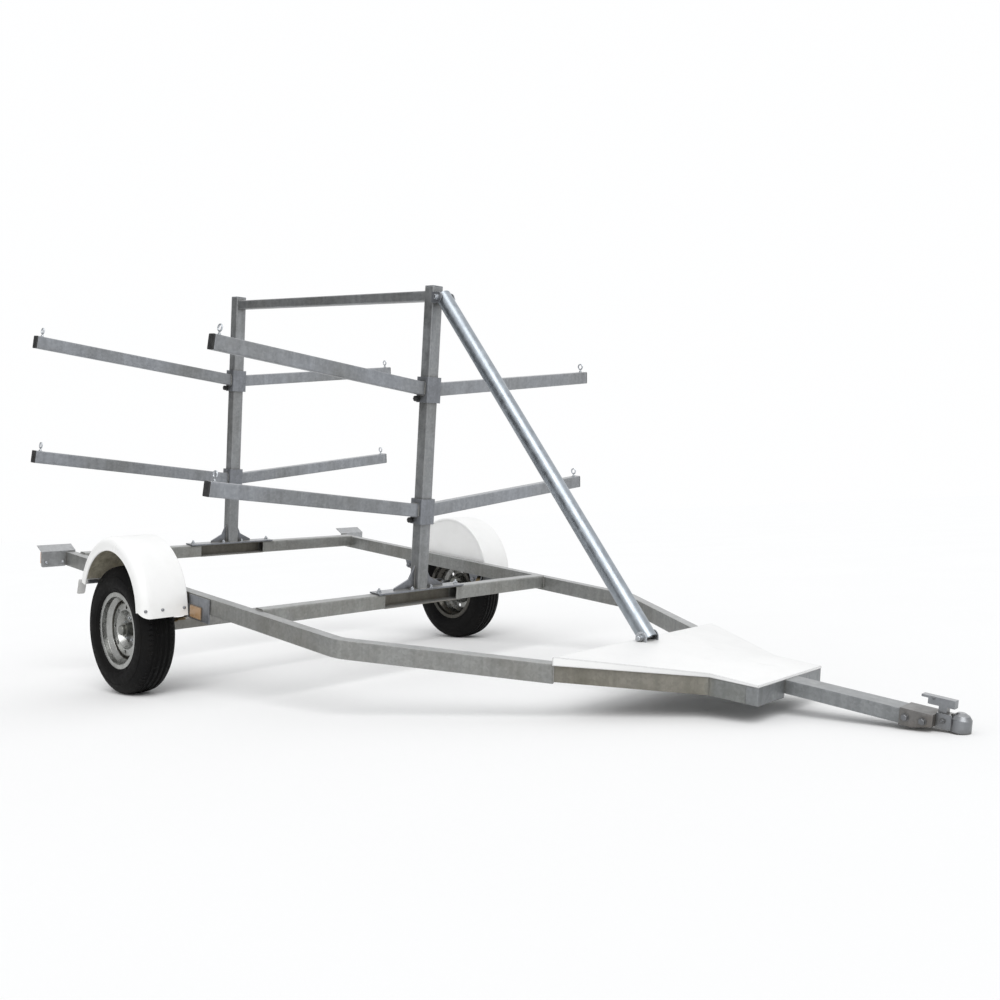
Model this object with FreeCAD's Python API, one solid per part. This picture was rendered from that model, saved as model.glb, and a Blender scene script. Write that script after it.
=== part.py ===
import FreeCAD, Part
import math
import os

os.makedirs("parts", exist_ok=True)

# A towed rack trailer for canoes and other narrow boats. All lengths are in millimetres.
# The trailer is drawn level, x forward from the axle, y to its left, z up from the axle's centre.
# At the end it is tipped onto its coupler, which is how it rests without a tow car.

# Wheels
tyre_radius = 305.0
tyre_width = 175.0
wheel_line = 1089.0
rim_flange_radius = 182.5
rim_seat_radius = 165.0
rim_well_radius = 146.0
rim_half_width = 70.0
rim_seat_width = 22.0
rim_well_half_width = 26.0
rim_sheet = 4.0
bead_gap = 0.3
# Each pair is a share of the height from the seat to the tread and a share of the half width.
tyre_side_shares = ((0.0, 0.64), (0.44, 1.0), (0.83, 0.93), (1.0, 0.63))
disc_bulge = 30.0
disc_rim_bulge = 15.0
disc_seat_radius = 74.0
disc_crest_inner_radius = 94.0
disc_crest_outer_radius = 124.0
hand_hole_count = 8
hand_hole_radius = 10.0

# Hub, measured along the axle from the wheel's centre plane
wheel_inset = 7.0
hub_inner_length = 46.0
hub_nose_length = 44.0
grease_cap_length = 20.0
hub_flange_face = wheel_line - wheel_inset
hub_flange_thickness = 10.0
hub_inner_face = hub_flange_face - hub_inner_length
hub_nose_face = hub_flange_face + hub_nose_length
grease_cap_face = hub_nose_face + grease_cap_length
hub_drum_radius = 46.0
hub_flange_radius = 72.0
hub_nose_radius = 33.0
grease_cap_radius = 24.0
grease_cap_edge = 6.0
grease_cap_end_radius = 19.0
grease_cap_wall = 3.0

# Running gear
axle_side = 50.0
axle_wall = 5.0
axle_setback = 51.0
axle_end = hub_inner_face - axle_setback
axle_plug = 30.0
spindle_radius = 16.0
spindle_setback = 8.0
spindle_end = hub_nose_face - spindle_setback
running_fit = 0.05
spring_half_length = 290.0
spring_rise = 54.0
leaf_half_lengths = (290.0, 215.0, 140.0)
leaf_thickness = 7.0
leaf_width = 38.0
spring_pad_thickness = 8.0
spring_eye_outer_radius = 17.0
spring_eye_inner_radius = 9.0
hanger_sheet = 5.0
hanger_gap = 1.0
hanger_length = 70.0
hanger_tip_share = 0.35
hanger_bridge = 4.0
tie_plate = 8.0
tie_plate_length = 110.0
tie_plate_width = 90.0
u_bolt_radius = 6.0
u_bolt_tail = 18.0
u_bolt_rise = 9.0

# Frame
rail_width = 50.0
rail_depth = 74.0
rail_wall = 4.0
rail_top = 222.0
cross_top = 231.0
rail_inset = 143.0
rail_line = wheel_line - rail_inset
rail_rear = -1004.0
rail_bend = 1417.0
rail_bend_radius = 130.0
corner_reach = 0.5
front_rail_top = 246.0
front_rail_depth = 66.0
deck_drop = 24.0
splice_cut = 400.0
nose_line = 210.0
cross_width = 60.0
cross_depth = 70.0
cross_wall = 4.0
rear_channel_half_length = 215.0
front_channel_half_length = 238.0

# Deck, measured forward from its rear edge
deck_rear = 2172.0
deck_thickness = 4.0
deck_half_width = 546.0
deck_wide_length = 474.0
deck_neck = deck_rear + deck_wide_length
deck_nose_half_width = 236.0
deck_cross_length = 60.0
splice_setback = 22.0
rail_splice = deck_rear - splice_setback
nose_bend_length = 467.0
nose_bend = deck_rear + nose_bend_length
deck_length = 670.0
nose_front = deck_rear + deck_length
nose_cross_length = 50.0

# Drawbar and coupler, measured forward from the nose of the frame
drawbar_width = 90.0
drawbar_depth = 50.0
drawbar_wall = 4.0
drawbar_length = 458.0
drawbar_front = nose_front + drawbar_length
shank_lap = 42.0
shank_length = 108.0
shank_rear = drawbar_front - shank_lap
shank_front = shank_rear + shank_length
shank_sheet = 4.0
head_reach = 139.0
head_line = drawbar_front + head_reach
head_radius = 33.0
head_bottom = 206.0
head_top = 268.0
head_shoulder = 21.0
head_crown = 8.0
head_crown_radius = 25.0
head_top_radius = 12.0
neck_half_width = 23.5
neck_drop = 12.5
ball_radius = 25.0
ball_clearance = 0.6
socket_crown_radius = 15.0
socket_roof = 24.0
latch_reach = 34.0
latch_length = 86.0
latch_rear = drawbar_front + latch_reach
latch_front = latch_rear + latch_length
latch_half_width = 15.0
latch_top = 303.0
latch_rise = 8.0
latch_bottom = head_top + latch_rise
latch_tab_length = 22.0
latch_tab_height = 8.0
latch_post_length = 26.0

# Rack
rear_upright_line = -911.0
front_upright_line = 821.0
upright_side = 65.0
upright_wall = 4.0
upright_top = 1723.0
cap_thickness = 5.0
foot_plate = 8.0
foot_half_length = 280.0
foot_width = 74.0
gusset_sheet = 8.0
gusset_height = 115.0
rear_gusset_reach = 134.0
front_gusset_reach = 160.0
gusset_toe_share = 0.1
gusset_waist_share = 0.3
gusset_waist_height_share = 0.42
collar_side = 90.0
collar_wall = 6.0
collar_height = 125.0
packing_height = 30.0
upper_collar_height = 1221.0
lower_collar_height = 624.0
knob_offset = 24.0
knob_drop = 45.0
knob_radius = 14.0
knob_length = 18.0
knob_stud_radius = 5.0
knob_stud_length = 5.0
arm_half_length = 1197.0
arm_rise = 133.0
arm_depth = 65.0
arm_width = 45.0
arm_wall = 3.0
arm_root_bevel = 2.0
arm_cap = 5.0
plug_length = 24.0
eye_inboard = 28.0
eye_stem_length = 16.0
eye_ring_radius = 14.0
eye_wire_radius = 4.0
eye_wire_sides = 6
top_bar_side = 50.0
top_bar_wall = 3.0
top_bar_drop = 23.0

# Brace between the front upright and the deck
brace_radius = 38.05
brace_wall = 3.2
brace_top_reach = 76.0
brace_top_drop = 59.0
brace_foot_inset = 35.0
brace_foot_rise = 46.0
brace_top_line = front_upright_line + brace_top_reach
brace_top_height = upright_top - brace_top_drop
brace_foot_line = deck_rear + brace_foot_inset
brace_foot_height = front_rail_top + brace_foot_rise
brace_overrun = 12.0
clevis_sheet = 6.0
clevis_gap = 0.3
clevis_radius = 26.0
clevis_base = 6.0
clevis_back = 5.0
pin_radius = 8.0
pin_head_radius = 13.0
pin_head_length = 8.0

# Mudguards, measured along the axle from the wheel's centre plane
guard_radius = 330.0
guard_lip_radius = 263.0
guard_centre_x = 8.0
guard_centre_z = 121.0
guard_inner_reach = 106.0
guard_outer_reach = 120.0
guard_inner = wheel_line - guard_inner_reach
guard_edge = wheel_line + guard_outer_reach
guard_round = 44.0
guard_sheet = 3.0
guard_turn_in = 12.0
guard_lean = 10.0
guard_sweep = 156.0
# Each pair steps down from the crown and in from the edge, as shares of the rounding.
guard_round_shares = ((0.0, 1.0), (0.06, 0.6), (0.22, 0.27), (0.48, 0.06), (0.8, 0.0))
guard_front_flap = 58.0
guard_rear_flap = 28.0
guard_tab_drop = 78.0
guard_tab_width = 40.0
side_panel_gap = 1.0
side_panel_lift = 3.0
stay_sheet = 6.0
stay_gap = 1.0
cheek_rear = 326.0
cheek_front = 505.0
cheek_drop = 42.0

# Rear lamps and side reflectors
lamp_reach = 18.0
lamp_outer = wheel_line + lamp_reach
lamp_plate = 4.0
lamp_plate_bottom = 145.0
lamp_top = 231.0
lamp_plate_round = 12.0
lamp_inset = 12.0
lamp_depth = 46.0
hood_rear_rise = 27.0
hood_overhang = 10.0
reflector_rear = 348.0
reflector_length = 96.0
reflector_height = 62.0
reflector_thickness = 8.0
reflector_drop = 36.0


def vec(x, y, z):
    return FreeCAD.Vector(x, y, z)


def box(x0, x1, y0, y1, z0, z1):
    return Part.makeBox(x1 - x0, y1 - y0, z1 - z0, vec(x0, y0, z0))


def polygon(points):
    return Part.Face(Part.makePolygon(list(points) + [points[0]]))


def prism_z(points, z0, z1):
    face = polygon([vec(x, y, z0) for x, y in points])
    return face.extrude(vec(0, 0, z1 - z0))


def prism_y(points, y0, y1):
    face = polygon([vec(x, y0, z) for x, z in points])
    return face.extrude(vec(0, y1 - y0, 0))


def prism_x(points, x0, x1):
    face = polygon([vec(x0, y, z) for y, z in points])
    return face.extrude(vec(x1 - x0, 0, 0))


def cylinder_y(radius, y0, y1, x, z):
    return Part.makeCylinder(radius, y1 - y0, vec(x, y0, z), vec(0, 1, 0))


def revolve_y(points):
    # Points are (radius, y); the profile turns about the axle.
    face = polygon([vec(r, y, 0) for r, y in points])
    return face.revolve(vec(0, 0, 0), vec(0, 1, 0), 360)


def fused(shapes):
    body = shapes[0]
    for shape in shapes[1:]:
        body = body.fuse(shape)
    return body.removeSplitter()


def mirror(shape):
    return shape.mirror(vec(0, 0, 0), vec(0, 1, 0))


def with_mirror_images(shapes):
    return Part.makeCompound([copy for shape in shapes for copy in (shape, mirror(shape))])


def rounded_box(x0, x1, y0, y1, z0, z1, axis, radius):
    # A box whose four arrises along one axis are rounded.
    solid = box(x0, x1, y0, y1, z0, z1)
    arrises = [edge for edge in solid.Edges
               if edge.tangentAt(edge.FirstParameter).cross(axis).Length < corner_reach]
    return solid.makeFillet(radius, arrises)


def box_tube(x0, x1, y0, y1, z0, z1, axis, wall):
    # Rolled tube: the outer arrises are rounded to twice the wall and the inner ones to the wall.
    dx, dy, dz = [wall * (1 - abs(part)) for part in axis]
    outer = rounded_box(x0, x1, y0, y1, z0, z1, axis, 2 * wall)
    return outer.cut(rounded_box(x0 + dx, x1 - dx, y0 + dy, y1 - dy, z0 + dz, z1 - dz, axis, wall))


def tube_z(x, side, wall, z0, z1):
    # A square tube standing on the middle line.
    half = side / 2
    return box_tube(x - half, x + half, -half, half, z0, z1, vec(0, 0, 1), wall)


def offset_path(points, distance):
    # The mitred line at a distance to the left of an open path.
    def unit(a, b):
        length = math.hypot(b[0] - a[0], b[1] - a[1])
        return ((b[0] - a[0]) / length, (b[1] - a[1]) / length)

    directions = [unit(a, b) for a, b in zip(points, points[1:])]
    result = []
    for i, (x, y) in enumerate(points):
        before = directions[max(i - 1, 0)]
        after = directions[min(i, len(directions) - 1)]
        nx = -before[1] - after[1]
        ny = before[0] + after[0]
        size = math.hypot(nx, ny)
        nx, ny = nx / size, ny / size
        scale = distance / (nx * -before[1] + ny * before[0])
        result.append((x + nx * scale, y + ny * scale))
    return result


def bent_bar(points, half_width, z0, z1, radius):
    # A bar of rectangular section along a plan path, its inner bends rounded.
    left = offset_path(points, half_width)
    right = offset_path(points, -half_width)
    solid = prism_z(left + right[::-1], z0, z1)
    if radius:
        for side, r in ((left, radius + half_width), (right, radius - half_width)):
            for corner in side[1:-1]:
                edges = [e for e in solid.Edges if is_upright_at(e, corner)]
                solid = solid.makeFillet(r, edges)
    return solid


def is_upright_at(edge, corner):
    a = edge.Vertexes[0].Point
    b = edge.Vertexes[-1].Point
    near = math.hypot(a.x - corner[0], a.y - corner[1]) < corner_reach
    return near and math.hypot(a.x - b.x, a.y - b.y) < corner_reach


def bent_tube(points, depth, top, radius):
    bottom = top - depth
    outer = bent_bar(points, rail_width / 2, bottom, top, radius)
    inner = bent_bar(points, rail_width / 2 - rail_wall, bottom + rail_wall, top - rail_wall, radius)
    return outer.cut(inner)


def slant_y(x):
    # The middle line of the slanting part of the frame, from the rail's bend to the nose.
    share = (x - rail_bend) / (nose_bend - rail_bend)
    return rail_line + (nose_line - rail_line) * share


def side_rail():
    path = [(rail_rear, rail_line), (rail_bend, rail_line), (rail_splice, slant_y(rail_splice))]
    return bent_tube(path, rail_depth, rail_top, rail_bend_radius)


def deck_slope():
    return math.degrees(math.asin(deck_drop / (nose_front - deck_rear)))


def sloped(shape):
    # The deck and the frame under it fall to the rear from the front edge of the nose.
    placed = shape.copy()
    placed.rotate(vec(nose_front, 0, front_rail_top), vec(0, 1, 0), -deck_slope())
    return placed


def sloped_place(x, z):
    slope = math.radians(deck_slope())
    dx = x - nose_front
    dz = z - front_rail_top
    return (nose_front + dx * math.cos(slope) - dz * math.sin(slope),
            front_rail_top + dx * math.sin(slope) + dz * math.cos(slope))


def splice_room():
    # Everything to the rear of the upright plane in which the two lengths of rail are spliced.
    here = (rail_splice, slant_y(rail_splice))
    back = (rail_splice - splice_cut, slant_y(rail_splice - splice_cut))
    path = [back, here]
    left = offset_path(path, rail_width)
    right = offset_path(path, -rail_width)
    return prism_z(left + right[::-1], front_rail_top - splice_cut, front_rail_top + splice_cut)


def front_rail():
    start = rail_splice - rail_width
    end = nose_front - nose_cross_length
    path = [(start, slant_y(start)), (nose_bend, nose_line), (end, nose_line)]
    return sloped(bent_tube(path, front_rail_depth, front_rail_top, 0)).cut(splice_room())


def front_rail_inner_y(x):
    # The inner side of the slanting front rail at a station along it.
    slope = (rail_line - nose_line) / (nose_bend - rail_bend)
    return slant_y(x) - rail_width / 2 * math.hypot(1, slope)


def cross_member(x, channel_half_length):
    # Two box tubes run from the rails to the middle channel that carries the upright.
    bottom = cross_top - cross_depth
    half = cross_width / 2
    inside = rail_line - rail_width / 2
    tube = box_tube(x - half, x + half, channel_half_length, inside, bottom, cross_top,
                    vec(0, 1, 0), cross_wall)
    end = rounded_box(x - half, x + half, inside - cross_wall, inside, bottom, cross_top,
                      vec(0, 1, 0), 2 * cross_wall)
    return with_mirror_images([fused([tube, end])])


def centre_channel(x, half_length):
    # The web stands at the rear and the open side faces forward.
    bottom = cross_top - cross_depth
    half = cross_width / 2
    body = box(x - half, x + half, -half_length, half_length, bottom, cross_top)
    hollow = box(x - half + cross_wall, x + half, -half_length, half_length,
                 bottom + cross_wall, cross_top - cross_wall)
    return body.cut(hollow)


def deck_cross_piece():
    x0 = deck_rear
    x1 = deck_rear + deck_cross_length
    bottom = front_rail_top - front_rail_depth

    def slab(inset, z0, z1):
        ends = [(x, front_rail_inner_y(x)) for x in (x0 + inset, x1 - inset)]
        return prism_z(ends + [(x, -y) for x, y in ends[::-1]], z0, z1)

    body = slab(0, bottom, front_rail_top)
    return sloped(body.cut(slab(rail_wall, bottom + rail_wall, front_rail_top - rail_wall)))


def nose_cross_member():
    # It closes the ends of the front rails and is itself closed at both ends.
    bottom = front_rail_top - front_rail_depth
    x0 = nose_front - nose_cross_length
    y0 = drawbar_width / 2
    y1 = nose_line + rail_width / 2
    tube = box(x0, nose_front, y0, y1, bottom, front_rail_top)
    hollow = box(x0 + rail_wall, nose_front - rail_wall, y0, y1 - rail_wall,
                 bottom + rail_wall, front_rail_top - rail_wall)
    return with_mirror_images([sloped(tube.cut(hollow))])


def deck_sheet():
    right = [(deck_rear, -deck_half_width), (deck_neck, -deck_nose_half_width),
             (nose_front, -deck_nose_half_width)]
    outline = right + [(x, -y) for x, y in right[::-1]]
    return sloped(prism_z(outline, front_rail_top, front_rail_top + deck_thickness))


def drawbar():
    # Sloped with the deck as far as the nose and level ahead of it.
    half = drawbar_width / 2
    start = sloped_place(deck_rear + deck_cross_length, front_rail_top)
    path = [start, (nose_front, front_rail_top), (drawbar_front, front_rail_top)]

    def bar(inset):
        upper = offset_path(path, -inset)
        lower = offset_path(path, inset - drawbar_depth)
        return prism_y(upper + lower[::-1], inset - half, half - inset)

    return bar(0).cut(bar(drawbar_wall))


def coupler_shank():
    # A folded sleeve slipped over the end of the drawbar; its floor rises to the neck.
    half = drawbar_width / 2
    bottom = front_rail_top - drawbar_depth
    top = front_rail_top + shank_sheet
    front = shank_front - shank_sheet
    outline = [(shank_rear, bottom - shank_sheet), (drawbar_front, bottom - shank_sheet),
               (shank_front, head_bottom + shank_sheet), (shank_front, top), (shank_rear, top)]
    body = prism_y(outline, -half - shank_sheet, half + shank_sheet)
    sleeve = box(shank_rear, drawbar_front, -half, half, bottom, front_rail_top)
    taper = prism_y([(drawbar_front, bottom), (front, head_bottom + 2 * shank_sheet),
                     (front, front_rail_top), (drawbar_front, front_rail_top)], -half, half)
    return body.cut(sleeve).cut(taper)


def coupler_head():
    # The neck and the turned cup that drops over the tow ball.
    socket = ball_radius + ball_clearance
    profile = [(socket, head_bottom), (head_radius, head_bottom), (head_radius, head_top - head_shoulder),
               (head_crown_radius, head_top - head_crown), (head_top_radius, head_top), (0, head_top),
               (0, head_bottom + ball_radius + socket_roof),
               (socket_crown_radius, head_bottom + ball_radius + socket_roof),
               (socket, head_bottom + ball_radius)]
    face = polygon([vec(r, 0, z) for r, z in profile])
    cup = face.revolve(vec(0, 0, 0), vec(0, 0, 1), 360)
    cup.translate(vec(head_line, 0, 0))
    neck = box(shank_front, head_line, -neck_half_width, neck_half_width,
               head_bottom, head_top - neck_drop)
    room = Part.makeCylinder(head_radius - ball_clearance, head_top - head_bottom,
                             vec(head_line, 0, head_bottom))
    return fused([cup, neck.cut(room)])


def coupler_latch():
    # The release plate over the neck, with its small finger tab at the rear.
    half = latch_half_width
    post_rear = shank_front + shank_sheet
    plate = box(latch_rear, latch_front, -half, half, latch_bottom, latch_top)
    tab = box(latch_rear - latch_tab_length, latch_rear, -half, half,
              latch_top - latch_tab_height, latch_top)
    post = box(post_rear, post_rear + latch_post_length, -half, half,
               head_top - neck_drop, latch_bottom)
    return fused([plate, tab, post])


def foot_plate_with_gussets(x, reach):
    base = cross_top + foot_plate
    half = foot_width / 2
    side = upright_side / 2
    waist_y = side + (reach - side) * gusset_waist_share
    pieces = [box(x - half, x + half, -foot_half_length, foot_half_length, cross_top, base)]
    for sign in (-1, 1):
        profile = [(sign * side, base), (sign * reach, base),
                   (sign * reach, base + gusset_height * gusset_toe_share),
                   (sign * waist_y, base + gusset_height * gusset_waist_height_share),
                   (sign * side, base + gusset_height)]
        pieces.append(prism_x(profile, x - gusset_sheet / 2, x + gusset_sheet / 2))
    return fused(pieces)


def upright(x):
    return tube_z(x, upright_side, upright_wall, cross_top + foot_plate, upright_top - cap_thickness)


def upright_caps():
    half = upright_side / 2
    return Part.makeCompound([
        rounded_box(x - half, x + half, -half, half, upright_top - cap_thickness, upright_top,
                    vec(0, 0, 1), 2 * upright_wall)
        for x in (rear_upright_line, front_upright_line)])


def collars(x):
    half = collar_height / 2
    return Part.makeCompound([
        tube_z(x, collar_side, collar_wall, z - half, z + half)
        for z in (upper_collar_height, lower_collar_height)])


def collar_packings(x, z):
    # Plastic packings fill the space between each collar and its upright.
    side = collar_side - 2 * collar_wall
    wall = (side - upright_side) / 2
    low = z - collar_height / 2
    high = z + collar_height / 2
    return [tube_z(x, side, wall, low, low + packing_height),
            tube_z(x, side, wall, high - packing_height, high)]


def collar_knob(x, z):
    # A clamp screw under the arm, with its round plastic knob.
    face = collar_side / 2
    head = face + knob_stud_length
    place = (x - knob_offset, z - knob_drop)
    return fused([cylinder_y(knob_stud_radius, face, head, *place),
                  cylinder_y(knob_radius, head, head + knob_length, *place)])


def arm_angle():
    return math.degrees(math.atan2(arm_rise, arm_half_length))


def arm_run():
    return math.hypot(arm_half_length, arm_rise)


def along_arm(shape, x, z):
    # Drawn level along +Y at height zero, then raised and carried to its collar.
    turned = shape.copy()
    turned.rotate(vec(0, 0, 0), vec(1, 0, 0), arm_angle())
    turned.translate(vec(x, 0, z))
    return turned


def arm(x, z):
    # Square to its collar at the root, where the top edge is bevelled for the weld.
    half = arm_width / 2
    deep = arm_depth / 2
    end = arm_run() - arm_cap
    tube = box_tube(-half, half, 0, end, -deep, deep, vec(0, 1, 0), arm_wall)
    hole = Part.makeCylinder(eye_wire_radius + running_fit, arm_depth, vec(0, end - eye_inboard, 0))
    placed = along_arm(tube.cut(hole), x, z)
    root = collar_side / 2
    collar_room = box(x - collar_side, x + collar_side, -collar_side, root,
                      z - collar_height, z + collar_height)
    slope = arm_rise / arm_half_length
    top = z + root * slope + deep * math.hypot(1, slope)
    bevel = prism_x([(root, top - arm_root_bevel), (root + arm_root_bevel, top + arm_root_bevel * slope),
                     (root, top + arm_root_bevel)], x - half, x + half)
    return placed.cut(collar_room).cut(bevel)


def arm_end_cap(x, z):
    half = arm_width / 2
    deep = arm_depth / 2
    end = arm_run()
    face = end - arm_cap

    def plug(wall):
        return rounded_box(-half + wall, half - wall, face - plug_length, face, -deep + wall,
                           deep - wall, vec(0, 1, 0), arm_wall)

    flange = rounded_box(-half, half, face, end, -deep, deep, vec(0, 1, 0), 2 * arm_wall)
    return along_arm(flange.fuse(plug(arm_wall).cut(plug(2 * arm_wall))), x, z)


def tie_down_eye(x, z):
    # A ring on a stem that is screwed into the top of the arm.
    y = arm_run() - arm_cap - eye_inboard
    foot = arm_depth / 2 - arm_wall
    ring_z = arm_depth / 2 + eye_stem_length + eye_ring_radius
    section = []
    for i in range(eye_wire_sides):
        turn = 2 * math.pi * i / eye_wire_sides
        section.append(vec(eye_ring_radius + eye_wire_radius * math.cos(turn),
                           eye_wire_radius * math.sin(turn), 0))
    ring = polygon(section).revolve(vec(0, 0, 0), vec(0, 1, 0), 360)
    ring.translate(vec(0, y, ring_z))
    stem = Part.makeCylinder(eye_wire_radius, ring_z - eye_ring_radius - foot, vec(0, y, foot))
    return along_arm(fused([ring, stem]), x, z)


def top_bar():
    half = top_bar_side / 2
    x0 = rear_upright_line + upright_side / 2
    x1 = front_upright_line - upright_side / 2
    z = upright_top - top_bar_drop - half
    return box_tube(x0, x1, -half, half, z - half, z + half, vec(1, 0, 0), top_bar_wall)


def brace_pin_places():
    return ((brace_top_line, brace_top_height), sloped_place(brace_foot_line, brace_foot_height))


def brace():
    foot_line, foot_height = brace_pin_places()[1]
    dx = foot_line - brace_top_line
    dz = foot_height - brace_top_height
    run = math.hypot(dx, dz)
    ux, uz = dx / run, dz / run
    start = vec(brace_top_line - ux * brace_overrun, 0, brace_top_height - uz * brace_overrun)
    length = run + 2 * brace_overrun
    tube = Part.makeCylinder(brace_radius, length, start, vec(ux, 0, uz))
    tube = tube.cut(Part.makeCylinder(brace_radius - brace_wall, length, start, vec(ux, 0, uz)))
    for x, z in brace_pin_places():
        tube = tube.cut(cylinder_y(pin_radius + running_fit, -brace_radius, brace_radius, x, z))
    return tube


def clevis_ear(x, z, root):
    # One ear on the left of the brace, round about the pin; the root is a box to the piece behind.
    y0 = brace_radius + clevis_gap
    y1 = y0 + clevis_sheet
    x0, x1, z0, z1 = root
    ear = box(x0, x1, y0, y1, z0, z1).fuse(cylinder_y(clevis_radius, y0, y1, x, z))
    return ear.cut(cylinder_y(pin_radius + running_fit, y0, y1, x, z)).removeSplitter()


def upper_clevis():
    # Two ears on a back plate that is welded to the face of the upright.
    face = front_upright_line + upright_side / 2
    low = brace_top_height - clevis_radius
    high = brace_top_height + clevis_radius
    reach = brace_radius + clevis_gap + clevis_sheet
    back = box(face, face + clevis_back, -reach, reach, low, high)
    ear = clevis_ear(brace_top_line, brace_top_height, (face, brace_top_line, low, high))
    return fused([back, ear, mirror(ear)])


def foot_clevis():
    floor = front_rail_top + deck_thickness
    reach = brace_radius + clevis_gap + clevis_sheet
    x0 = brace_foot_line - clevis_radius
    x1 = brace_foot_line + clevis_radius
    ear = clevis_ear(brace_foot_line, brace_foot_height, (x0, x1, floor, brace_foot_height))
    base = box(x0, x1, -reach, reach, floor, floor + clevis_base)
    return sloped(fused([base, ear, mirror(ear)]))


def brace_pins():
    reach = brace_radius + clevis_gap + clevis_sheet
    head = reach + pin_head_length
    return Part.makeCompound([
        fused([cylinder_y(pin_radius, -reach, reach, x, z),
               cylinder_y(pin_head_radius, reach, head, x, z),
               cylinder_y(pin_head_radius, -head, -reach, x, z)])
        for x, z in brace_pin_places()])


def axle_beam():
    half = axle_side / 2
    inner = half - axle_wall
    plugged = axle_end - axle_plug
    beam = box(-half, half, -axle_end, axle_end, -half, half)
    beam = beam.cut(box(-inner, inner, -plugged, plugged, -inner, inner))
    spindle = cylinder_y(spindle_radius, plugged, spindle_end, 0, 0)
    return fused([beam, spindle, mirror(spindle)])


def spring_curve_radius():
    return (spring_half_length ** 2 + spring_rise ** 2) / (2 * spring_rise)


def spring_top_z():
    # The upper face of the longest leaf over the axle.
    return axle_side / 2 + spring_pad_thickness + len(leaf_half_lengths) * leaf_thickness


def spring_eye_z():
    return spring_top_z() + spring_rise + spring_eye_outer_radius - leaf_thickness


def leaf(half_length, upper_radius, centre_z, y0, y1):
    lower_radius = upper_radius + leaf_thickness
    angle = math.asin(half_length / upper_radius)

    def at(radius, turn):
        return vec(radius * math.sin(turn), y0, centre_z - radius * math.cos(turn))

    upper = Part.Arc(at(upper_radius, -angle), at(upper_radius, 0), at(upper_radius, angle))
    lower = Part.Arc(at(lower_radius, angle), at(lower_radius, 0), at(lower_radius, -angle))
    edges = [upper.toShape(),
             Part.makeLine(at(upper_radius, angle), at(lower_radius, angle)),
             lower.toShape(),
             Part.makeLine(at(lower_radius, -angle), at(upper_radius, -angle))]
    return Part.Face(Part.Wire(edges)).extrude(vec(0, y1 - y0, 0))


def leaf_spring():
    y0 = rail_line - leaf_width / 2
    y1 = rail_line + leaf_width / 2
    radius = spring_curve_radius()
    centre_z = spring_top_z() + radius
    pieces = [leaf(half_length, radius + i * leaf_thickness, centre_z, y0, y1)
              for i, half_length in enumerate(leaf_half_lengths)]
    ends = [(sign * spring_half_length, spring_eye_z()) for sign in (-1, 1)]
    pieces += [cylinder_y(spring_eye_outer_radius, y0, y1, x, z) for x, z in ends]
    pack = fused(pieces)
    for x, z in ends:
        pack = pack.cut(cylinder_y(spring_eye_inner_radius, y0, y1, x, z))
    return pack.removeSplitter()


def spring_pad():
    # The saddle between the axle and the shortest leaf.
    half = axle_side / 2
    saddle = box(-half, half, rail_line - leaf_width / 2, rail_line + leaf_width / 2,
                 half, half + spring_pad_thickness + leaf_thickness / 2)
    return saddle.cut(leaf_spring())


def spring_hanger(x):
    # Two cheeks under a welded plate carry the spring's eye on a bolt.
    top = rail_top - rail_depth
    half = hanger_length / 2
    tip = half * hanger_tip_share
    y_in = rail_line - leaf_width / 2 - hanger_gap - hanger_sheet
    y_out = rail_line + leaf_width / 2 + hanger_gap + hanger_sheet
    z = spring_eye_z()
    low = z - spring_eye_outer_radius
    outline = [(x - half, top), (x + half, top), (x + tip, low), (x - tip, low)]
    return fused([
        box(x - half, x + half, y_in, y_out, top - hanger_bridge, top),
        prism_y(outline, y_in, y_in + hanger_sheet),
        prism_y(outline, y_out - hanger_sheet, y_out),
        cylinder_y(spring_eye_inner_radius - running_fit, y_in - hanger_sheet, y_out + hanger_sheet, x, z)])


def u_bolts():
    # A plate under the axle is drawn up by two bolts bent over the spring.
    low = -axle_side / 2 - tie_plate
    arch_top = spring_top_z() + u_bolt_rise
    tail = low - u_bolt_tail
    leg_y = leaf_width / 2 + u_bolt_radius + hanger_gap
    pieces = [box(-tie_plate_length / 2, tie_plate_length / 2, rail_line - tie_plate_width / 2,
                  rail_line + tie_plate_width / 2, low, -axle_side / 2)]
    for sign in (-1, 1):
        x = sign * (axle_side / 2 + u_bolt_radius + hanger_gap)
        for side in (-1, 1):
            foot = vec(x, rail_line + side * leg_y, tail)
            pieces.append(Part.makeCylinder(u_bolt_radius, arch_top - tail, foot))
        pieces.append(box(x - u_bolt_radius, x + u_bolt_radius, rail_line - leg_y, rail_line + leg_y,
                          arch_top - u_bolt_radius, arch_top + u_bolt_radius))
    return fused(pieces).cut(leaf_spring()).removeSplitter()


def hub():
    bore = spindle_radius + running_fit
    inside = grease_cap_face - grease_cap_wall
    return revolve_y([
        (bore, hub_inner_face), (hub_drum_radius, hub_inner_face),
        (hub_drum_radius, hub_flange_face - hub_flange_thickness),
        (hub_flange_radius, hub_flange_face - hub_flange_thickness),
        (hub_flange_radius, hub_flange_face), (hub_nose_radius, hub_flange_face),
        (hub_nose_radius, hub_nose_face), (grease_cap_radius, hub_nose_face),
        (grease_cap_radius, grease_cap_face - grease_cap_edge),
        (grease_cap_end_radius, grease_cap_face), (0, grease_cap_face),
        (0, inside), (bore, inside)])


def rim_barrel():
    # The drop-centre barrel, from one flange down through the well to the other.
    edge = rim_half_width - rim_sheet
    half = [(rim_flange_radius, edge), (rim_seat_radius, edge),
            (rim_seat_radius, edge - rim_seat_width), (rim_well_radius, rim_well_half_width)]
    line = half + [(r, -y) for r, y in half[::-1]]
    loop = line + offset_path(line, -rim_sheet)[::-1]
    return revolve_y([(r, wheel_line + y) for r, y in loop])


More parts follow.
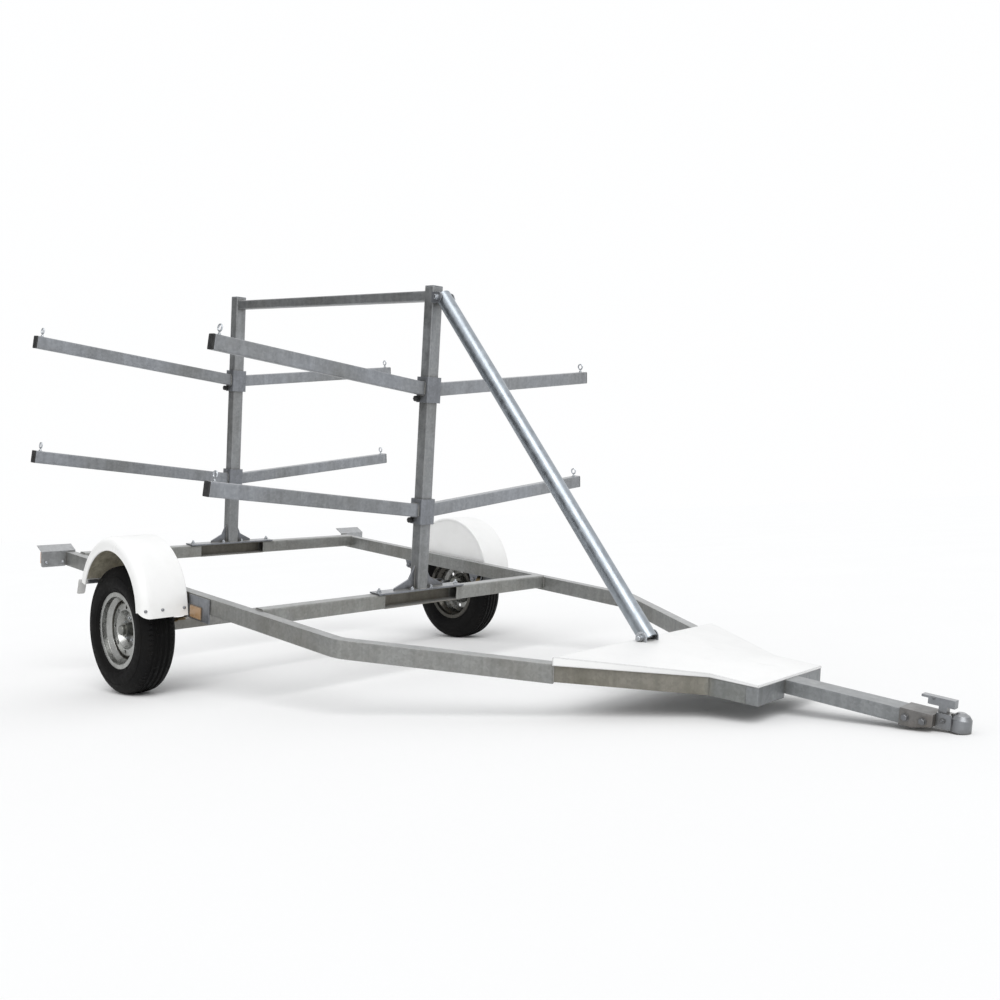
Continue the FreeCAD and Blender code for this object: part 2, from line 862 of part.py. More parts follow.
def rim_disc():
    # The pressed disc, bulged outward between its seat on the hub and its welded edge.
    crest = hub_flange_face + disc_bulge
    front = [(hub_nose_radius + bead_gap, hub_flange_face), (disc_seat_radius, hub_flange_face),
             (disc_crest_inner_radius, crest), (disc_crest_outer_radius, crest),
             (rim_well_radius - rim_sheet, hub_flange_face + disc_rim_bulge)]
    disc = revolve_y(front + [(r, y + rim_sheet) for r, y in front[::-1]])
    middle = (disc_crest_inner_radius + disc_crest_outer_radius) / 2
    for i in range(hand_hole_count):
        turn = 2 * math.pi * i / hand_hole_count
        disc = disc.cut(cylinder_y(hand_hole_radius, hub_flange_face, crest + 2 * rim_sheet,
                                   middle * math.cos(turn), middle * math.sin(turn)))
    return disc


def rim():
    return fused([rim_barrel(), rim_disc()])


def tyre():
    # Seated on the rim, which closes it; its sides swell and round off to the tread.
    seat = rim_seat_radius + bead_gap
    height = tyre_radius - seat
    half = [(seat + height * rise, tyre_width / 2 * width) for rise, width in tyre_side_shares]
    loop = half + [(r, -y) for r, y in half[::-1]]
    return revolve_y([(r, wheel_line + y) for r, y in loop])


def guard_turned(shape, degrees):
    # Turns a piece of the guard about the guard's own centre, towards its top.
    placed = shape.copy()
    placed.rotate(vec(0, 0, 0), vec(0, 1, 0), -degrees)
    return placed


def guard_placed(shape):
    # Leans the front flap forward and sets the guard over the wheel.
    placed = guard_turned(shape, guard_lean)
    placed.translate(vec(guard_centre_x, 0, guard_centre_z))
    return placed


def guard_section(shrink):
    # Flat over the tyre, then rounded down towards the outer lip.
    crown = guard_radius - shrink
    edge = guard_edge - shrink
    rounding = [(crown - guard_round * down, edge - guard_round * inward)
                for down, inward in guard_round_shares]
    return [(crown, guard_inner + shrink)] + rounding


def guard_face():
    outside = guard_section(0)
    inside = guard_section(guard_sheet)
    lip = [(guard_lip_radius, guard_edge), (guard_lip_radius, guard_edge - guard_sheet)]
    turn_in = [(guard_radius - guard_turn_in, guard_inner + guard_sheet),
               (guard_radius - guard_turn_in, guard_inner)]
    loop = outside + lip + inside[::-1] + turn_in
    return polygon([vec(r, y, 0) for r, y in loop])


def stay_bar(y0, y1, z0, z1):
    # A flat bar against the inside of a straight flap, in the guard's own frame.
    reach = guard_radius - guard_sheet
    return box(reach - stay_sheet, reach, y0, y1, z0, z1)


def front_bar(y0, y1, room):
    return stay_bar(y0, y1, -guard_front_flap + stay_sheet - room, -stay_sheet + room)


def rear_bar(y0, y1, room):
    bar = stay_bar(y0, y1, stay_sheet - room, guard_rear_flap - stay_sheet + room)
    return guard_turned(bar, guard_sweep)


def mudguard():
    # A moulded shell; its turned-in edge is notched where the stays pass.
    face = guard_face()
    arch = face.revolve(vec(0, 0, 0), vec(0, 1, 0), -guard_sweep)
    front_flap = face.extrude(vec(0, 0, -guard_front_flap))
    rear_flap = box(guard_radius - guard_sheet, guard_radius, guard_inner, guard_edge,
                    0, guard_rear_flap)
    rear_tab = box(guard_radius - guard_sheet, guard_radius, guard_edge - guard_tab_width, guard_edge,
                   0, guard_tab_drop)
    rear = guard_turned(rear_flap.fuse(rear_tab), guard_sweep)
    body = fused([arch, front_flap, rear])
    outside = guard_inner - guard_sheet
    inside = guard_inner + 2 * guard_sheet
    body = body.cut(front_bar(outside, inside, stay_gap)).cut(rear_bar(outside, inside, stay_gap))
    return guard_placed(body)


def guard_side_panel():
    # A flat white panel closes the inner side of the arch above the rail.
    radius = guard_radius - guard_sheet - side_panel_gap
    y0 = guard_inner + guard_sheet
    disc = cylinder_y(radius, y0, y0 + guard_sheet, 0, 0)
    half = guard_sweep / 2
    chord = radius * math.cos(math.radians(half)) + side_panel_lift
    room = box(-radius, radius, y0, y0 + guard_sheet, chord, radius)
    turned = room.copy()
    turned.rotate(vec(0, 0, 0), vec(0, 1, 0), 90 - half)
    return guard_placed(disc.common(turned))


def guard_stays():
    # The front bar stands on a cheek plate; the rear one is welded straight to the rail.
    rail_face = rail_line + rail_width / 2
    end = guard_edge - guard_sheet - guard_round
    low = rail_top - rail_depth - cheek_drop
    high = rail_top - stay_sheet
    cheek = prism_y([(cheek_rear, low), (cheek_front, low), (cheek_front, high), (cheek_rear, high)],
                    rail_face, rail_face + stay_sheet)
    front = fused([guard_placed(front_bar(rail_face, end, 0)), cheek])
    rear = guard_placed(rear_bar(rail_face, end, 0))
    return [front, rear]


def lamp_bracket():
    # A plate with rounded corners faces forward beside the rail's end, under a sloping hood.
    rail_face = rail_line + rail_width / 2
    plate = box(rail_rear - lamp_plate, rail_rear, rail_face, lamp_outer, lamp_plate_bottom, lamp_top)
    corners = [e for e in plate.Edges if is_lower_corner(e)]
    plate = plate.makeFillet(lamp_plate_round, corners)
    strap = box(rail_rear - lamp_plate, rail_rear, rail_line - rail_width / 2, rail_face,
                rail_top - rail_depth, lamp_top)
    rear = rail_rear - lamp_plate - lamp_depth - hood_overhang
    high = lamp_top + hood_rear_rise
    hood = prism_y([(rear, high - lamp_plate), (rail_rear, lamp_top - lamp_plate),
                    (rail_rear, lamp_top), (rear, high)], rail_line - rail_width / 2, lamp_outer)
    return fused([plate, strap, hood])


def is_lower_corner(edge):
    a = edge.Vertexes[0].Point
    b = edge.Vertexes[-1].Point
    low = abs(a.z - lamp_plate_bottom) + abs(b.z - lamp_plate_bottom) < corner_reach
    return low and abs(a.y - b.y) < corner_reach


def tail_lamp():
    rail_face = rail_line + rail_width / 2
    front = rail_rear - lamp_plate
    return box(front - lamp_depth, front, rail_face + lamp_inset, lamp_outer - lamp_inset,
               lamp_plate_bottom + lamp_inset, lamp_top - lamp_plate)


def side_reflector():
    y0 = rail_line + rail_width / 2 + stay_sheet
    z0 = rail_top - rail_depth - reflector_drop
    return box(reflector_rear, reflector_rear + reflector_length, y0, y0 + reflector_thickness,
               z0, z0 + reflector_height)


def resting_angle():
    # The tilt at which the lower front edge of the coupler's cup meets the ground.
    tip = head_line + head_radius
    reach = math.hypot(head_bottom, tip)
    return math.degrees(math.atan2(head_bottom, tip) + math.asin(tyre_radius / reach))


def tipped(shape, x_shift):
    placed = shape.copy()
    placed.rotate(vec(0, 0, 0), vec(0, 1, 0), resting_angle())
    placed.translate(vec(x_shift, 0, tyre_radius))
    return placed


def frame_nodes():
    return {
        "side_rail_left": side_rail(),
        "side_rail_right": mirror(side_rail()),
        "front_rail_left": front_rail(),
        "front_rail_right": mirror(front_rail()),
        "rear_cross_member": cross_member(rear_upright_line, rear_channel_half_length),
        "front_cross_member": cross_member(front_upright_line, front_channel_half_length),
        "rear_centre_channel": centre_channel(rear_upright_line, rear_channel_half_length),
        "front_centre_channel": centre_channel(front_upright_line, front_channel_half_length),
        "deck_cross_piece": deck_cross_piece(),
        "nose_cross_member": nose_cross_member(),
        "deck_sheet": deck_sheet(),
        "drawbar": drawbar(),
        "coupler_shank": coupler_shank(),
        "coupler_head": coupler_head(),
        "coupler_latch": coupler_latch(),
        "lamp_brackets": with_mirror_images([lamp_bracket()]),
        "tail_lamps": with_mirror_images([tail_lamp()]),
    }


def rack_nodes():
    nodes = {
        "rear_foot_plate": foot_plate_with_gussets(rear_upright_line, rear_gusset_reach),
        "front_foot_plate": foot_plate_with_gussets(front_upright_line, front_gusset_reach),
        "rear_upright": upright(rear_upright_line),
        "front_upright": upright(front_upright_line),
        "upright_caps": upright_caps(),
        "top_bar": top_bar(),
        "brace": brace(),
        "brace_upper_clevis": upper_clevis(),
        "brace_foot_clevis": foot_clevis(),
        "brace_pins": brace_pins(),
        "rear_collars": collars(rear_upright_line),
        "front_collars": collars(front_upright_line),
    }
    places = [(x, z) for x in (rear_upright_line, front_upright_line)
              for z in (upper_collar_height, lower_collar_height)]
    for end, x in (("rear", rear_upright_line), ("front", front_upright_line)):
        for level, z in (("upper", upper_collar_height), ("lower", lower_collar_height)):
            nodes[end + "_" + level + "_arms"] = with_mirror_images([arm(x, z)])
    nodes["collar_packings"] = Part.makeCompound(
        [packing for x, z in places for packing in collar_packings(x, z)])
    nodes["collar_knobs"] = with_mirror_images([collar_knob(x, z) for x, z in places])
    nodes["arm_end_caps"] = with_mirror_images([arm_end_cap(x, z) for x, z in places])
    nodes["tie_down_eyes"] = with_mirror_images([tie_down_eye(x, z) for x, z in places])
    return nodes


def running_gear_nodes():
    nodes = {
        "axle_beam": axle_beam(),
        "leaf_springs": with_mirror_images([leaf_spring()]),
        "spring_pads": with_mirror_images([spring_pad()]),
        "spring_hangers": with_mirror_images(
            [spring_hanger(sign * spring_half_length) for sign in (-1, 1)]),
        "u_bolts": with_mirror_images([u_bolts()]),
        "guard_stays": with_mirror_images(guard_stays()),
        "guard_side_panels": with_mirror_images([guard_side_panel()]),
        "side_reflectors": with_mirror_images([side_reflector()]),
    }
    for name, shape in (("hub", hub()), ("rim", rim()), ("tyre", tyre()), ("mudguard", mudguard())):
        nodes[name + "_left"] = shape
        nodes[name + "_right"] = mirror(shape)
    return nodes


def write_all():
    nodes = {**frame_nodes(), **rack_nodes(), **running_gear_nodes()}
    level = [tipped(shape, 0).BoundBox for shape in nodes.values()]
    shift = -(min(b.XMin for b in level) + max(b.XMax for b in level)) / 2
    for name, shape in nodes.items():
        tipped(shape, shift).exportStep("parts/" + name + ".step")


write_all()
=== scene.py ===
import math
import bmesh
import bpy
from mathutils import Matrix, Vector


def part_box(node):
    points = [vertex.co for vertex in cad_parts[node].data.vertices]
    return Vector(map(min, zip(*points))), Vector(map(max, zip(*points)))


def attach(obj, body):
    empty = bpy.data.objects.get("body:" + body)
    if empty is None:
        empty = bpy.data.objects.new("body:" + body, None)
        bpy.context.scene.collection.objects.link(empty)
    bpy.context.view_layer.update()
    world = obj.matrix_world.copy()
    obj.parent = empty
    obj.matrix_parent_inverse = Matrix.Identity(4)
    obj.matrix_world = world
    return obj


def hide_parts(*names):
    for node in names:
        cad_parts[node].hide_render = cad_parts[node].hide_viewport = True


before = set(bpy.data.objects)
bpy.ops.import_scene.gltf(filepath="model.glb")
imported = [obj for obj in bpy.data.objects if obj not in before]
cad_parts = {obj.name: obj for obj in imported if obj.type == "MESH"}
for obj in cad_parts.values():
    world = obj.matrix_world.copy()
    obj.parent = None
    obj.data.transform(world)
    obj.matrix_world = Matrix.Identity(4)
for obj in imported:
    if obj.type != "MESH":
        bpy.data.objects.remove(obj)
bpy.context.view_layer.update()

# Side rails and front rails: hot-dip galvanised box tube, bent inwards ahead of the wheels and
# spliced to a shallower tube under the deck. The trailer rests nose down on its coupler, so its
# level lines are tipped by that angle about the axle.
nose_down = math.radians(8.4263)
tyre_corners = [corner for side in ("left", "right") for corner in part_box("tyre_" + side)]
axle_centre = sum(tyre_corners, Vector()) / len(tyre_corners)
trailer_level = Matrix.Translation(axle_centre) @ Matrix.Rotation(nose_down, 4, "Y")


def feed(material, socket, value):
    # A socket takes another node's output, a number, or a colour as red, green and blue.
    if isinstance(value, bpy.types.NodeSocket):
        material.node_tree.links.new(value, socket)
    elif socket.type == "RGBA":
        socket.default_value = (*value, 1.0)
    else:
        socket.default_value = value


def node(material, kind, inputs=None, **settings):
    made = material.node_tree.nodes.new(kind)
    for key, value in settings.items():
        setattr(made, key, value)
    for key, value in (inputs or {}).items():
        feed(material, made.inputs[key], value)
    return made


def coordinates(material, kind="Object"):
    return node(material, "ShaderNodeTexCoord").outputs[kind]


def axis_part(material, vector, axis):
    return node(material, "ShaderNodeSeparateXYZ", {"Vector": vector}).outputs[axis]


def level_coordinates(material, stretch=(1.0, 1.0, 1.0)):
    # Patterns run along the tubes, so the tip of the trailer is taken out before they are laid.
    untipped_centre = Matrix.Rotation(-nose_down, 4, "Y") @ axle_centre
    untipped = node(material, "ShaderNodeMapping", {
        "Vector": coordinates(material),
        "Location": -untipped_centre,
        "Rotation": (0.0, -nose_down, 0.0)}).outputs["Vector"]
    return node(material, "ShaderNodeMapping", {
        "Vector": untipped, "Scale": stretch}).outputs["Vector"]


def cloud(material, at, scale, detail=4.0, rough=0.6):
    return node(material, "ShaderNodeTexNoise", {
        "Vector": at, "Scale": scale, "Detail": detail, "Roughness": rough}).outputs["Fac"]


def ranged(material, value, spread, to=(0.0, 1.0)):
    # Stretches the part of a pattern that lies within a spread to new limits.
    return node(material, "ShaderNodeMapRange", {
        "Value": value, "From Min": spread[0], "From Max": spread[1],
        "To Min": to[0], "To Max": to[1]}).outputs["Result"]


def blended(material, share, first, second, blend_type="MIX"):
    return node(material, "ShaderNodeMix", {0: share, 6: first, 7: second},
                data_type="RGBA", blend_type=blend_type).outputs[2]


def times(material, first, second):
    return node(material, "ShaderNodeMath", {0: first, 1: second}, operation="MULTIPLY").outputs[0]


def coated(name, metallic=0.0):
    material = bpy.data.materials.new(name)
    material.use_nodes = True
    material.node_tree.nodes.clear()
    skin = node(material, "ShaderNodeBsdfPrincipled", {"Metallic": metallic})
    node(material, "ShaderNodeOutputMaterial", {"Surface": skin.outputs["BSDF"]})
    return material, skin


def dressed(material, skin, colour, roughness, bump):
    feed(material, skin.inputs["Base Color"], colour)
    feed(material, skin.inputs["Roughness"], roughness)
    feed(material, skin.inputs["Normal"], node(material, "ShaderNodeBump", bump).outputs["Normal"])


def recoloured(material, share, second, blend_type="MIX"):
    # Lays a second colour over a dressed material, where the share says.
    base = material.node_tree.nodes["Principled BSDF"].inputs["Base Color"]
    first = base.links[0].from_socket
    feed(material, base, blended(material, share, first, second, blend_type))


def arris_normal_and_mask(material, radius):
    # The rounded normal, and how far a spot lies on an arris, from 0 on the flats to 1.
    rounded = node(material, "ShaderNodeBevel", {"Radius": radius}, samples=4).outputs["Normal"]
    straight = node(material, "ShaderNodeNewGeometry").outputs["True Normal"]
    facing = node(material, "ShaderNodeVectorMath", {0: rounded, 1: straight},
                  operation="DOT_PRODUCT").outputs["Value"]
    return rounded, ranged(material, facing, (1.0, 0.86))


def upward_face(material, low, high):
    # From 0 on faces that look up less than low to 1 on those that look up more than high.
    return ranged(material, axis_part(material, coordinates(material, "Normal"), "Z"), (low, high))


def galvanised_finish(name, zinc, patch, patchiness=0.6, gloss=0.42, metallic=0.7, arris=0.004,
                      spangle=0.10, top_light=0.55):
    # Zinc flakes a centimetre or so across, dull patches, painted top light on upper faces,
    # grime with painted shade in the corners, and rubbed arrises.
    painted_top_light = (0.66, 0.67, 0.68)
    grime_and_shade = (0.085, 0.072, 0.05)
    bright = tuple(min(1.0, part * 1.55) for part in zinc)
    material, skin = coated(name, metallic)
    at = level_coordinates(material)
    flakes = node(material, "ShaderNodeTexVoronoi", {"Vector": at, "Scale": 95.0}).outputs["Color"]
    flake = node(material, "ShaderNodeSeparateColor", {"Color": flakes}).outputs["Red"]
    patches = cloud(material, at, scale=2.3, detail=5.0, rough=0.62)
    mottle = cloud(material, at, scale=21.0, detail=6.0, rough=0.7)
    streaks = cloud(material, level_coordinates(material, (34.0, 34.0, 3.0)), scale=1.0)
    colour = blended(material, ranged(material, patches, (0.42, 0.66), (0.0, patchiness)),
                     zinc, patch)
    shade = times(material,
                  ranged(material, flake, (0.0, 1.0), (1.0 - spangle, 1.0 + spangle * 0.6)),
                  ranged(material, mottle, (0.3, 0.7), (0.87, 1.10)))
    shade = times(material, shade, ranged(material, streaks, (0.35, 0.7), (1.06, 0.86)))
    colour = blended(material, 1.0, colour, shade, "MULTIPLY")
    # Faces that look up are painted paler: painted light from above, with a mottle through it.
    top_light_share = times(material, upward_face(material, 0.55, 0.95),
                    ranged(material, mottle, (0.3, 0.65), (top_light, top_light * 0.6)))
    colour = blended(material, top_light_share, colour, painted_top_light)
    rounded, rubbed = arris_normal_and_mask(material, arris)
    rubbed = times(material, rubbed, ranged(material, mottle, (0.35, 0.6), (0.15, 0.7)))
    colour = blended(material, rubbed, colour, bright)
    # Corners found by occlusion are darkened towards brown: grime, with painted shade where the
    # corners lie in shade.
    corner = node(material, "ShaderNodeAmbientOcclusion", {"Distance": 0.035},
                  samples=4).outputs["AO"]
    grime_and_shade_share = times(material, ranged(material, corner, (0.85, 0.25), (0.0, 0.75)),
                 ranged(material, mottle, (0.3, 0.6), (0.5, 1.0)))
    colour = blended(material, grime_and_shade_share, colour, grime_and_shade)
    relief = times(material, cloud(material, at, scale=260.0, detail=3.0),
                   ranged(material, flake, (0.0, 1.0), (0.8, 1.0)))
    dressed(material, skin, colour,
            ranged(material, mottle, (0.3, 0.7), (gloss - 0.08, gloss + 0.14)),
            {"Strength": 0.16, "Distance": 0.001, "Height": relief, "Normal": rounded})
    return material


def finish_nodes(material, *names):
    # Gives pieces that come ready made from the frame their finish.
    for name in names:
        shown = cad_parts[name]
        if not shown.material_slots:
            shown.data.materials.append(material)
        for place in shown.material_slots:
            place.material = material


def fit_piece(bm, name, body, slot, *materials, crease):
    # Sets a piece that was drawn on the level trailer onto the resting one.
    bmesh.ops.transform(bm, matrix=trailer_level, verts=bm.verts)
    mesh = bpy.data.meshes.new(name)
    bm.to_mesh(mesh)
    bm.free()
    for material in materials:
        mesh.materials.append(material)
    mesh.shade_smooth()
    mesh.set_sharp_from_angle(angle=math.radians(crease))
    piece = bpy.data.objects.new(name, mesh)
    bpy.context.scene.collection.objects.link(piece)
    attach(piece, body)
    return piece


def aimed(centre, direction):
    # A stand at a spot, with its own upright axis along a direction.
    turn = Vector(direction).to_track_quat("Z", "Y").to_matrix().to_4x4()
    return Matrix.Translation(Vector(centre)) @ turn


def weld_bead(bm, start, end, radius=0.0032):
    # A rippled run of weld, half sunk into the corner that it fills.
    ripple_length = 0.007
    pinch = 0.76
    run = Vector(end) - Vector(start)
    steps = max(3, round(run.length / ripple_length))
    disc = bmesh.ops.create_circle(bm, cap_ends=True, segments=7, radius=radius,
                                   matrix=aimed(start, run))
    face = disc["verts"][0].link_faces[0]
    for step in range(steps):
        grown = bmesh.ops.extrude_face_region(bm, geom=[face])["geom"]
        ring = [part for part in grown if isinstance(part, bmesh.types.BMVert)]
        face = [part for part in grown if isinstance(part, bmesh.types.BMFace)][0]
        bmesh.ops.translate(bm, verts=ring, vec=run / steps)
        swell = pinch if step % 2 == 0 else 1 / pinch
        centre = Vector(start) + run * (step + 1) / steps
        bmesh.ops.scale(bm, verts=ring, vec=(swell, swell, swell),
                        space=Matrix.Translation(-centre))


rail_zinc = galvanised_finish("rail_zinc", (0.305, 0.31, 0.303), (0.205, 0.20, 0.18),
                              patchiness=0.7, arris=0.006)
front_zinc = galvanised_finish("front_zinc", (0.245, 0.235, 0.205), (0.15, 0.14, 0.105),
                               patchiness=0.7, arris=0.006)
# The browned zinc of the front rails turns blue-grey ahead of the deck's neck.
ahead_of_neck = ranged(front_zinc, axis_part(front_zinc, level_coordinates(front_zinc), "X"),
                       (2.63, 2.67))
recoloured(front_zinc, ahead_of_neck, (1.10, 1.19, 1.36), "MULTIPLY")
finish_nodes(rail_zinc, "side_rail_left", "side_rail_right")
finish_nodes(front_zinc, "front_rail_left", "front_rail_right", "deck_cross_piece")

rail_top = 0.222
rail_inner_face = 0.921
rail_half_width = 0.025
front_rail_depth = 0.066
splice = Vector((2.150, 0.5045, rail_top))
slant_across = Vector((0.5159, 0.8566, 0.0))
post_lines = (-0.911, 0.821)
cross_half_width = 0.030
cross_weld_foot = 0.167
cross_weld_reach = 0.026
bm = bmesh.new()
for side in (1, -1):
    flip = Matrix.Diagonal((1, side, 1, 1))
    outer = flip @ (splice + slant_across * rail_half_width)
    inner = flip @ (splice - slant_across * rail_half_width)
    weld_bead(bm, inner, outer)
    weld_bead(bm, outer, outer - Vector((0, 0, front_rail_depth)))
    face_y = side * rail_inner_face
    for station in post_lines:
        weld_bead(bm, (station - cross_weld_reach, face_y, rail_top),
                  (station + cross_weld_reach, face_y, rail_top))
        for face_x in (station - cross_half_width, station + cross_half_width):
            weld_bead(bm, (face_x, face_y, cross_weld_foot), (face_x, face_y, rail_top))
weld_zinc = galvanised_finish("weld_zinc", (0.34, 0.34, 0.33), (0.21, 0.20, 0.17),
                              patchiness=0.5, arris=0.001)
fit_piece(bm, "frame_welds", "frame", "galvanised_steel", weld_zinc, crease=60.0)

# The front rails, and the deck sheet on them, fall towards the rear from the edge of the nose.
nose_front = 2.842
front_rail_top = 0.246
deck_length = 0.670
deck_drop = 0.024
nose_edge = Matrix.Translation((nose_front, 0.0, front_rail_top))
deck_fall = Matrix.Rotation(-math.asin(deck_drop / deck_length), 4, "Y")
deck_level = nose_edge @ deck_fall @ nose_edge.inverted()
neck_joint = 2.6459
nose_joint = 2.792
joint_face = 0.2350
joint_foot = 0.180
joint_head = 0.244
bm = bmesh.new()
for side in (1, -1):
    for station in (neck_joint, nose_joint):
        weld_bead(bm, deck_level @ Vector((station, side * joint_face, joint_foot)),
                  deck_level @ Vector((station, side * joint_face, joint_head)), radius=0.0022)
fit_piece(bm, "front_rail_welds", "frame", "galvanised_steel", front_zinc, crease=60.0)

# Cross members: two short box tubes meet a channel on the middle line, open to the front, that
# carries the foot of each upright. The channels are painted darker brown, for old road dirt and
# for the shade in their recess.
cross_zinc = galvanised_finish("cross_zinc", (0.325, 0.33, 0.32), (0.23, 0.225, 0.20),
                               arris=0.006)
# Darker brown zinc for the channels: road dirt, with painted shade in the recess.
channel_dirt_and_shade = galvanised_finish("channel_dirt_and_shade", (0.25, 0.24, 0.215), (0.15, 0.14, 0.115),
                                 patchiness=0.9, gloss=0.55, metallic=0.5)
finish_nodes(cross_zinc, "rear_cross_member", "front_cross_member")
finish_nodes(channel_dirt_and_shade, "rear_centre_channel", "front_centre_channel")

# Deck: white coated sheet that lies level over the falling front rails, with its edges folded
# down to them. It is bonded on, so no fixing shows, and grey painted shade runs along the folds.
deck_white, skin = coated("deck_white")
at = level_coordinates(deck_white)
scuffs = cloud(deck_white, level_coordinates(deck_white, (2.0, 9.0, 1.0)),
               scale=3.0, detail=8.0, rough=0.7)
dust = cloud(deck_white, at, scale=5.5, detail=6.0, rough=0.65)
colour = blended(deck_white, ranged(deck_white, dust, (0.42, 0.75), (0.0, 0.55)),
                 (0.945, 0.945, 0.94), (0.86, 0.865, 0.86))
colour = blended(deck_white, ranged(deck_white, scuffs, (0.60, 0.70), (0.0, 0.25)),
                 colour, (0.70, 0.70, 0.69))
bare_underside = (0.34, 0.345, 0.35)
colour = blended(deck_white, upward_face(deck_white, -0.9, -0.5), bare_underside, colour)
# Grey is painted along the folded arrises as painted edge shade.
painted_fold_shade = times(deck_white, arris_normal_and_mask(deck_white, 0.007)[1], 0.85)
colour = blended(deck_white, painted_fold_shade, colour, (0.40, 0.405, 0.41))
waves = cloud(deck_white, at, scale=7.0, detail=2.0, rough=0.4)
dressed(deck_white, skin, colour, ranged(deck_white, scuffs, (0.3, 0.7), (0.36, 0.58)),
        {"Strength": 0.25, "Distance": 0.002, "Height": waves})
finish_nodes(deck_white, "deck_sheet")


def eased(bm, geometry, offset, segments, affect="EDGES"):
    # Rounds or chamfers arrises, or the corners of a flat sheet.
    return bmesh.ops.bevel(bm, geom=geometry, offset=offset, segments=segments, affect=affect,
                           profile=0.5, material=-1)


deck_corners = ((2.172, 0.546), (2.646, 0.236), (nose_front, 0.236))
deck_middle = 2.5
deck_overlap = 0.0015
fold_foot = 0.2464
cover_top = 0.255
bm = bmesh.new()
around = list(deck_corners) + [(x, -y) for x, y in reversed(deck_corners)]
skirt = [deck_level @ Vector((x + math.copysign(deck_overlap, x - deck_middle),
                              y + math.copysign(deck_overlap, y), fold_foot)) for x, y in around]
bm.faces.new([bm.verts.new(corner) for corner in skirt])
raised = bmesh.ops.extrude_face_region(bm, geom=list(bm.faces))["geom"]
top_face = [part for part in raised if isinstance(part, bmesh.types.BMFace)][0]
for vert in top_face.verts:
    vert.co.z = cover_top
eased(bm, list(top_face.edges), offset=0.003, segments=3)
bmesh.ops.recalc_face_normals(bm, faces=bm.faces)
fit_piece(bm, "deck_cover", "frame", "white_deck", deck_white, crease=50.0)

# Drawbar: one heavy box tube from under the deck to the coupler, with a folded sleeve slipped
# over its end and drawn up by two cross bolts. The sleeve has begun to rust at its seam.
drawbar_zinc = galvanised_finish("drawbar_zinc", (0.28, 0.292, 0.30), (0.195, 0.20, 0.198),
                                 arris=0.006, top_light=0.28)
sleeve_zinc = galvanised_finish("sleeve_zinc", (0.205, 0.20, 0.195), (0.145, 0.10, 0.065),
                                patchiness=0.9, gloss=0.46, top_light=0.22)
dull_zinc = galvanised_finish("dull_zinc", (0.20, 0.205, 0.215), (0.12, 0.12, 0.115),
                              gloss=0.4, metallic=0.85, arris=0.0008, spangle=0.06, top_light=0.2)
finish_nodes(drawbar_zinc, "drawbar", "nose_cross_member")
finish_nodes(sleeve_zinc, "coupler_shank")


def turned_bar(bm, stand, sides, foot_radius, head_radius, low, high):
    # A round or hexagonal bar that stands along its own axis, between two heights.
    middle = Matrix.Translation((0, 0, (low + high) / 2))
    return bmesh.ops.create_cone(bm, cap_ends=True, segments=sides, radius1=foot_radius,
                                 radius2=head_radius, depth=high - low,
                                 matrix=stand @ middle)["verts"]


def hex_bolt(bm, seat, direction, across, thread=0.0):
    # A plain washer, a chamfered head and, where it is a nut, the end of the thread.
    stand = aimed(seat, direction)
    washer_foot, washer_top = -0.0001, 0.0021
    head_foot = 0.0018
    head_top = head_foot + across * 0.55
    corner_radius = across * 0.577
    turned_bar(bm, stand, 18, across * 0.72, across * 0.70, washer_foot, washer_top)
    head = turned_bar(bm, stand, 6, corner_radius, corner_radius, head_foot, head_top)
    crown = stand @ Vector((0, 0, head_top))
    top = [edge for vert in head for edge in vert.link_edges
           if all((end.co - crown).length < across * 0.6 for end in edge.verts)]
    eased(bm, list(dict.fromkeys(top)), offset=across * 0.06, segments=1)
    if thread:
        turned_bar(bm, stand, 12, across * 0.30, across * 0.25, head_top, head_top + thread)


sleeve_bolt_lines = (3.278, 3.335)
sleeve_bolt_height = 0.221
sleeve_face = 0.049
bm = bmesh.new()
for station in sleeve_bolt_lines:
    hex_bolt(bm, (station, sleeve_face, sleeve_bolt_height), (0, 1, 0), across=0.019, thread=0.007)
    hex_bolt(bm, (station, -sleeve_face, sleeve_bolt_height), (0, -1, 0), across=0.019)
fit_piece(bm, "sleeve_bolts", "frame", "coupler_zinc", dull_zinc, crease=40.0)

sleeve_rear = 3.258
sleeve_weld_reach = 0.045
sleeve_weld_height = 0.2480
bm = bmesh.new()
weld_bead(bm, (sleeve_rear, -sleeve_weld_reach, sleeve_weld_height),
          (sleeve_rear, sleeve_weld_reach, sleeve_weld_height), radius=0.0018)
fit_piece(bm, "sleeve_weld", "frame", "coupler_zinc", sleeve_zinc, crease=60.0)

# Coupler: a pressed and turned cup for the tow ball on a short neck, with a lift-up latch plate
# over it. The zinc has dulled to a dark grey and is polished where hands and the ball rub.
coupler_zinc = galvanised_finish("coupler_zinc", (0.26, 0.27, 0.285), (0.13, 0.13, 0.125),
                                 patchiness=0.7, gloss=0.33, metallic=0.85, arris=0.003,
                                 spangle=0.06)
finish_nodes(coupler_zinc, "coupler_head", "coupler_latch")


def pan_screw(bm, seat, direction, radius):
    # A shallow domed head, of which only the half above its seat is kept.
    stand = aimed(seat, direction)
    dome = bmesh.ops.create_uvsphere(bm, u_segments=14, v_segments=8, radius=radius, matrix=stand)
    parts = [part for vert in dome["verts"] for part in (vert, *vert.link_edges, *vert.link_faces)]
    bmesh.ops.bisect_plane(bm, geom=list(dict.fromkeys(parts)), plane_co=stand.translation,
                           plane_no=Vector(direction), clear_inner=True)


neck_bolt = Vector((3.389, 0.0235, 0.232))
latch_pin = Vector((3.352, 0.015, 0.298))
bm = bmesh.new()
for side in (1, -1):
    flip = Matrix.Diagonal((1, side, 1))
    hex_bolt(bm, flip @ neck_bolt, (0, side, 0), across=0.013, thread=0.004)
    pan_screw(bm, flip @ latch_pin, (0, side, 0), radius=0.0045)
fit_piece(bm, "latch_pivots", "frame", "coupler_zinc", dull_zinc, crease=40.0)

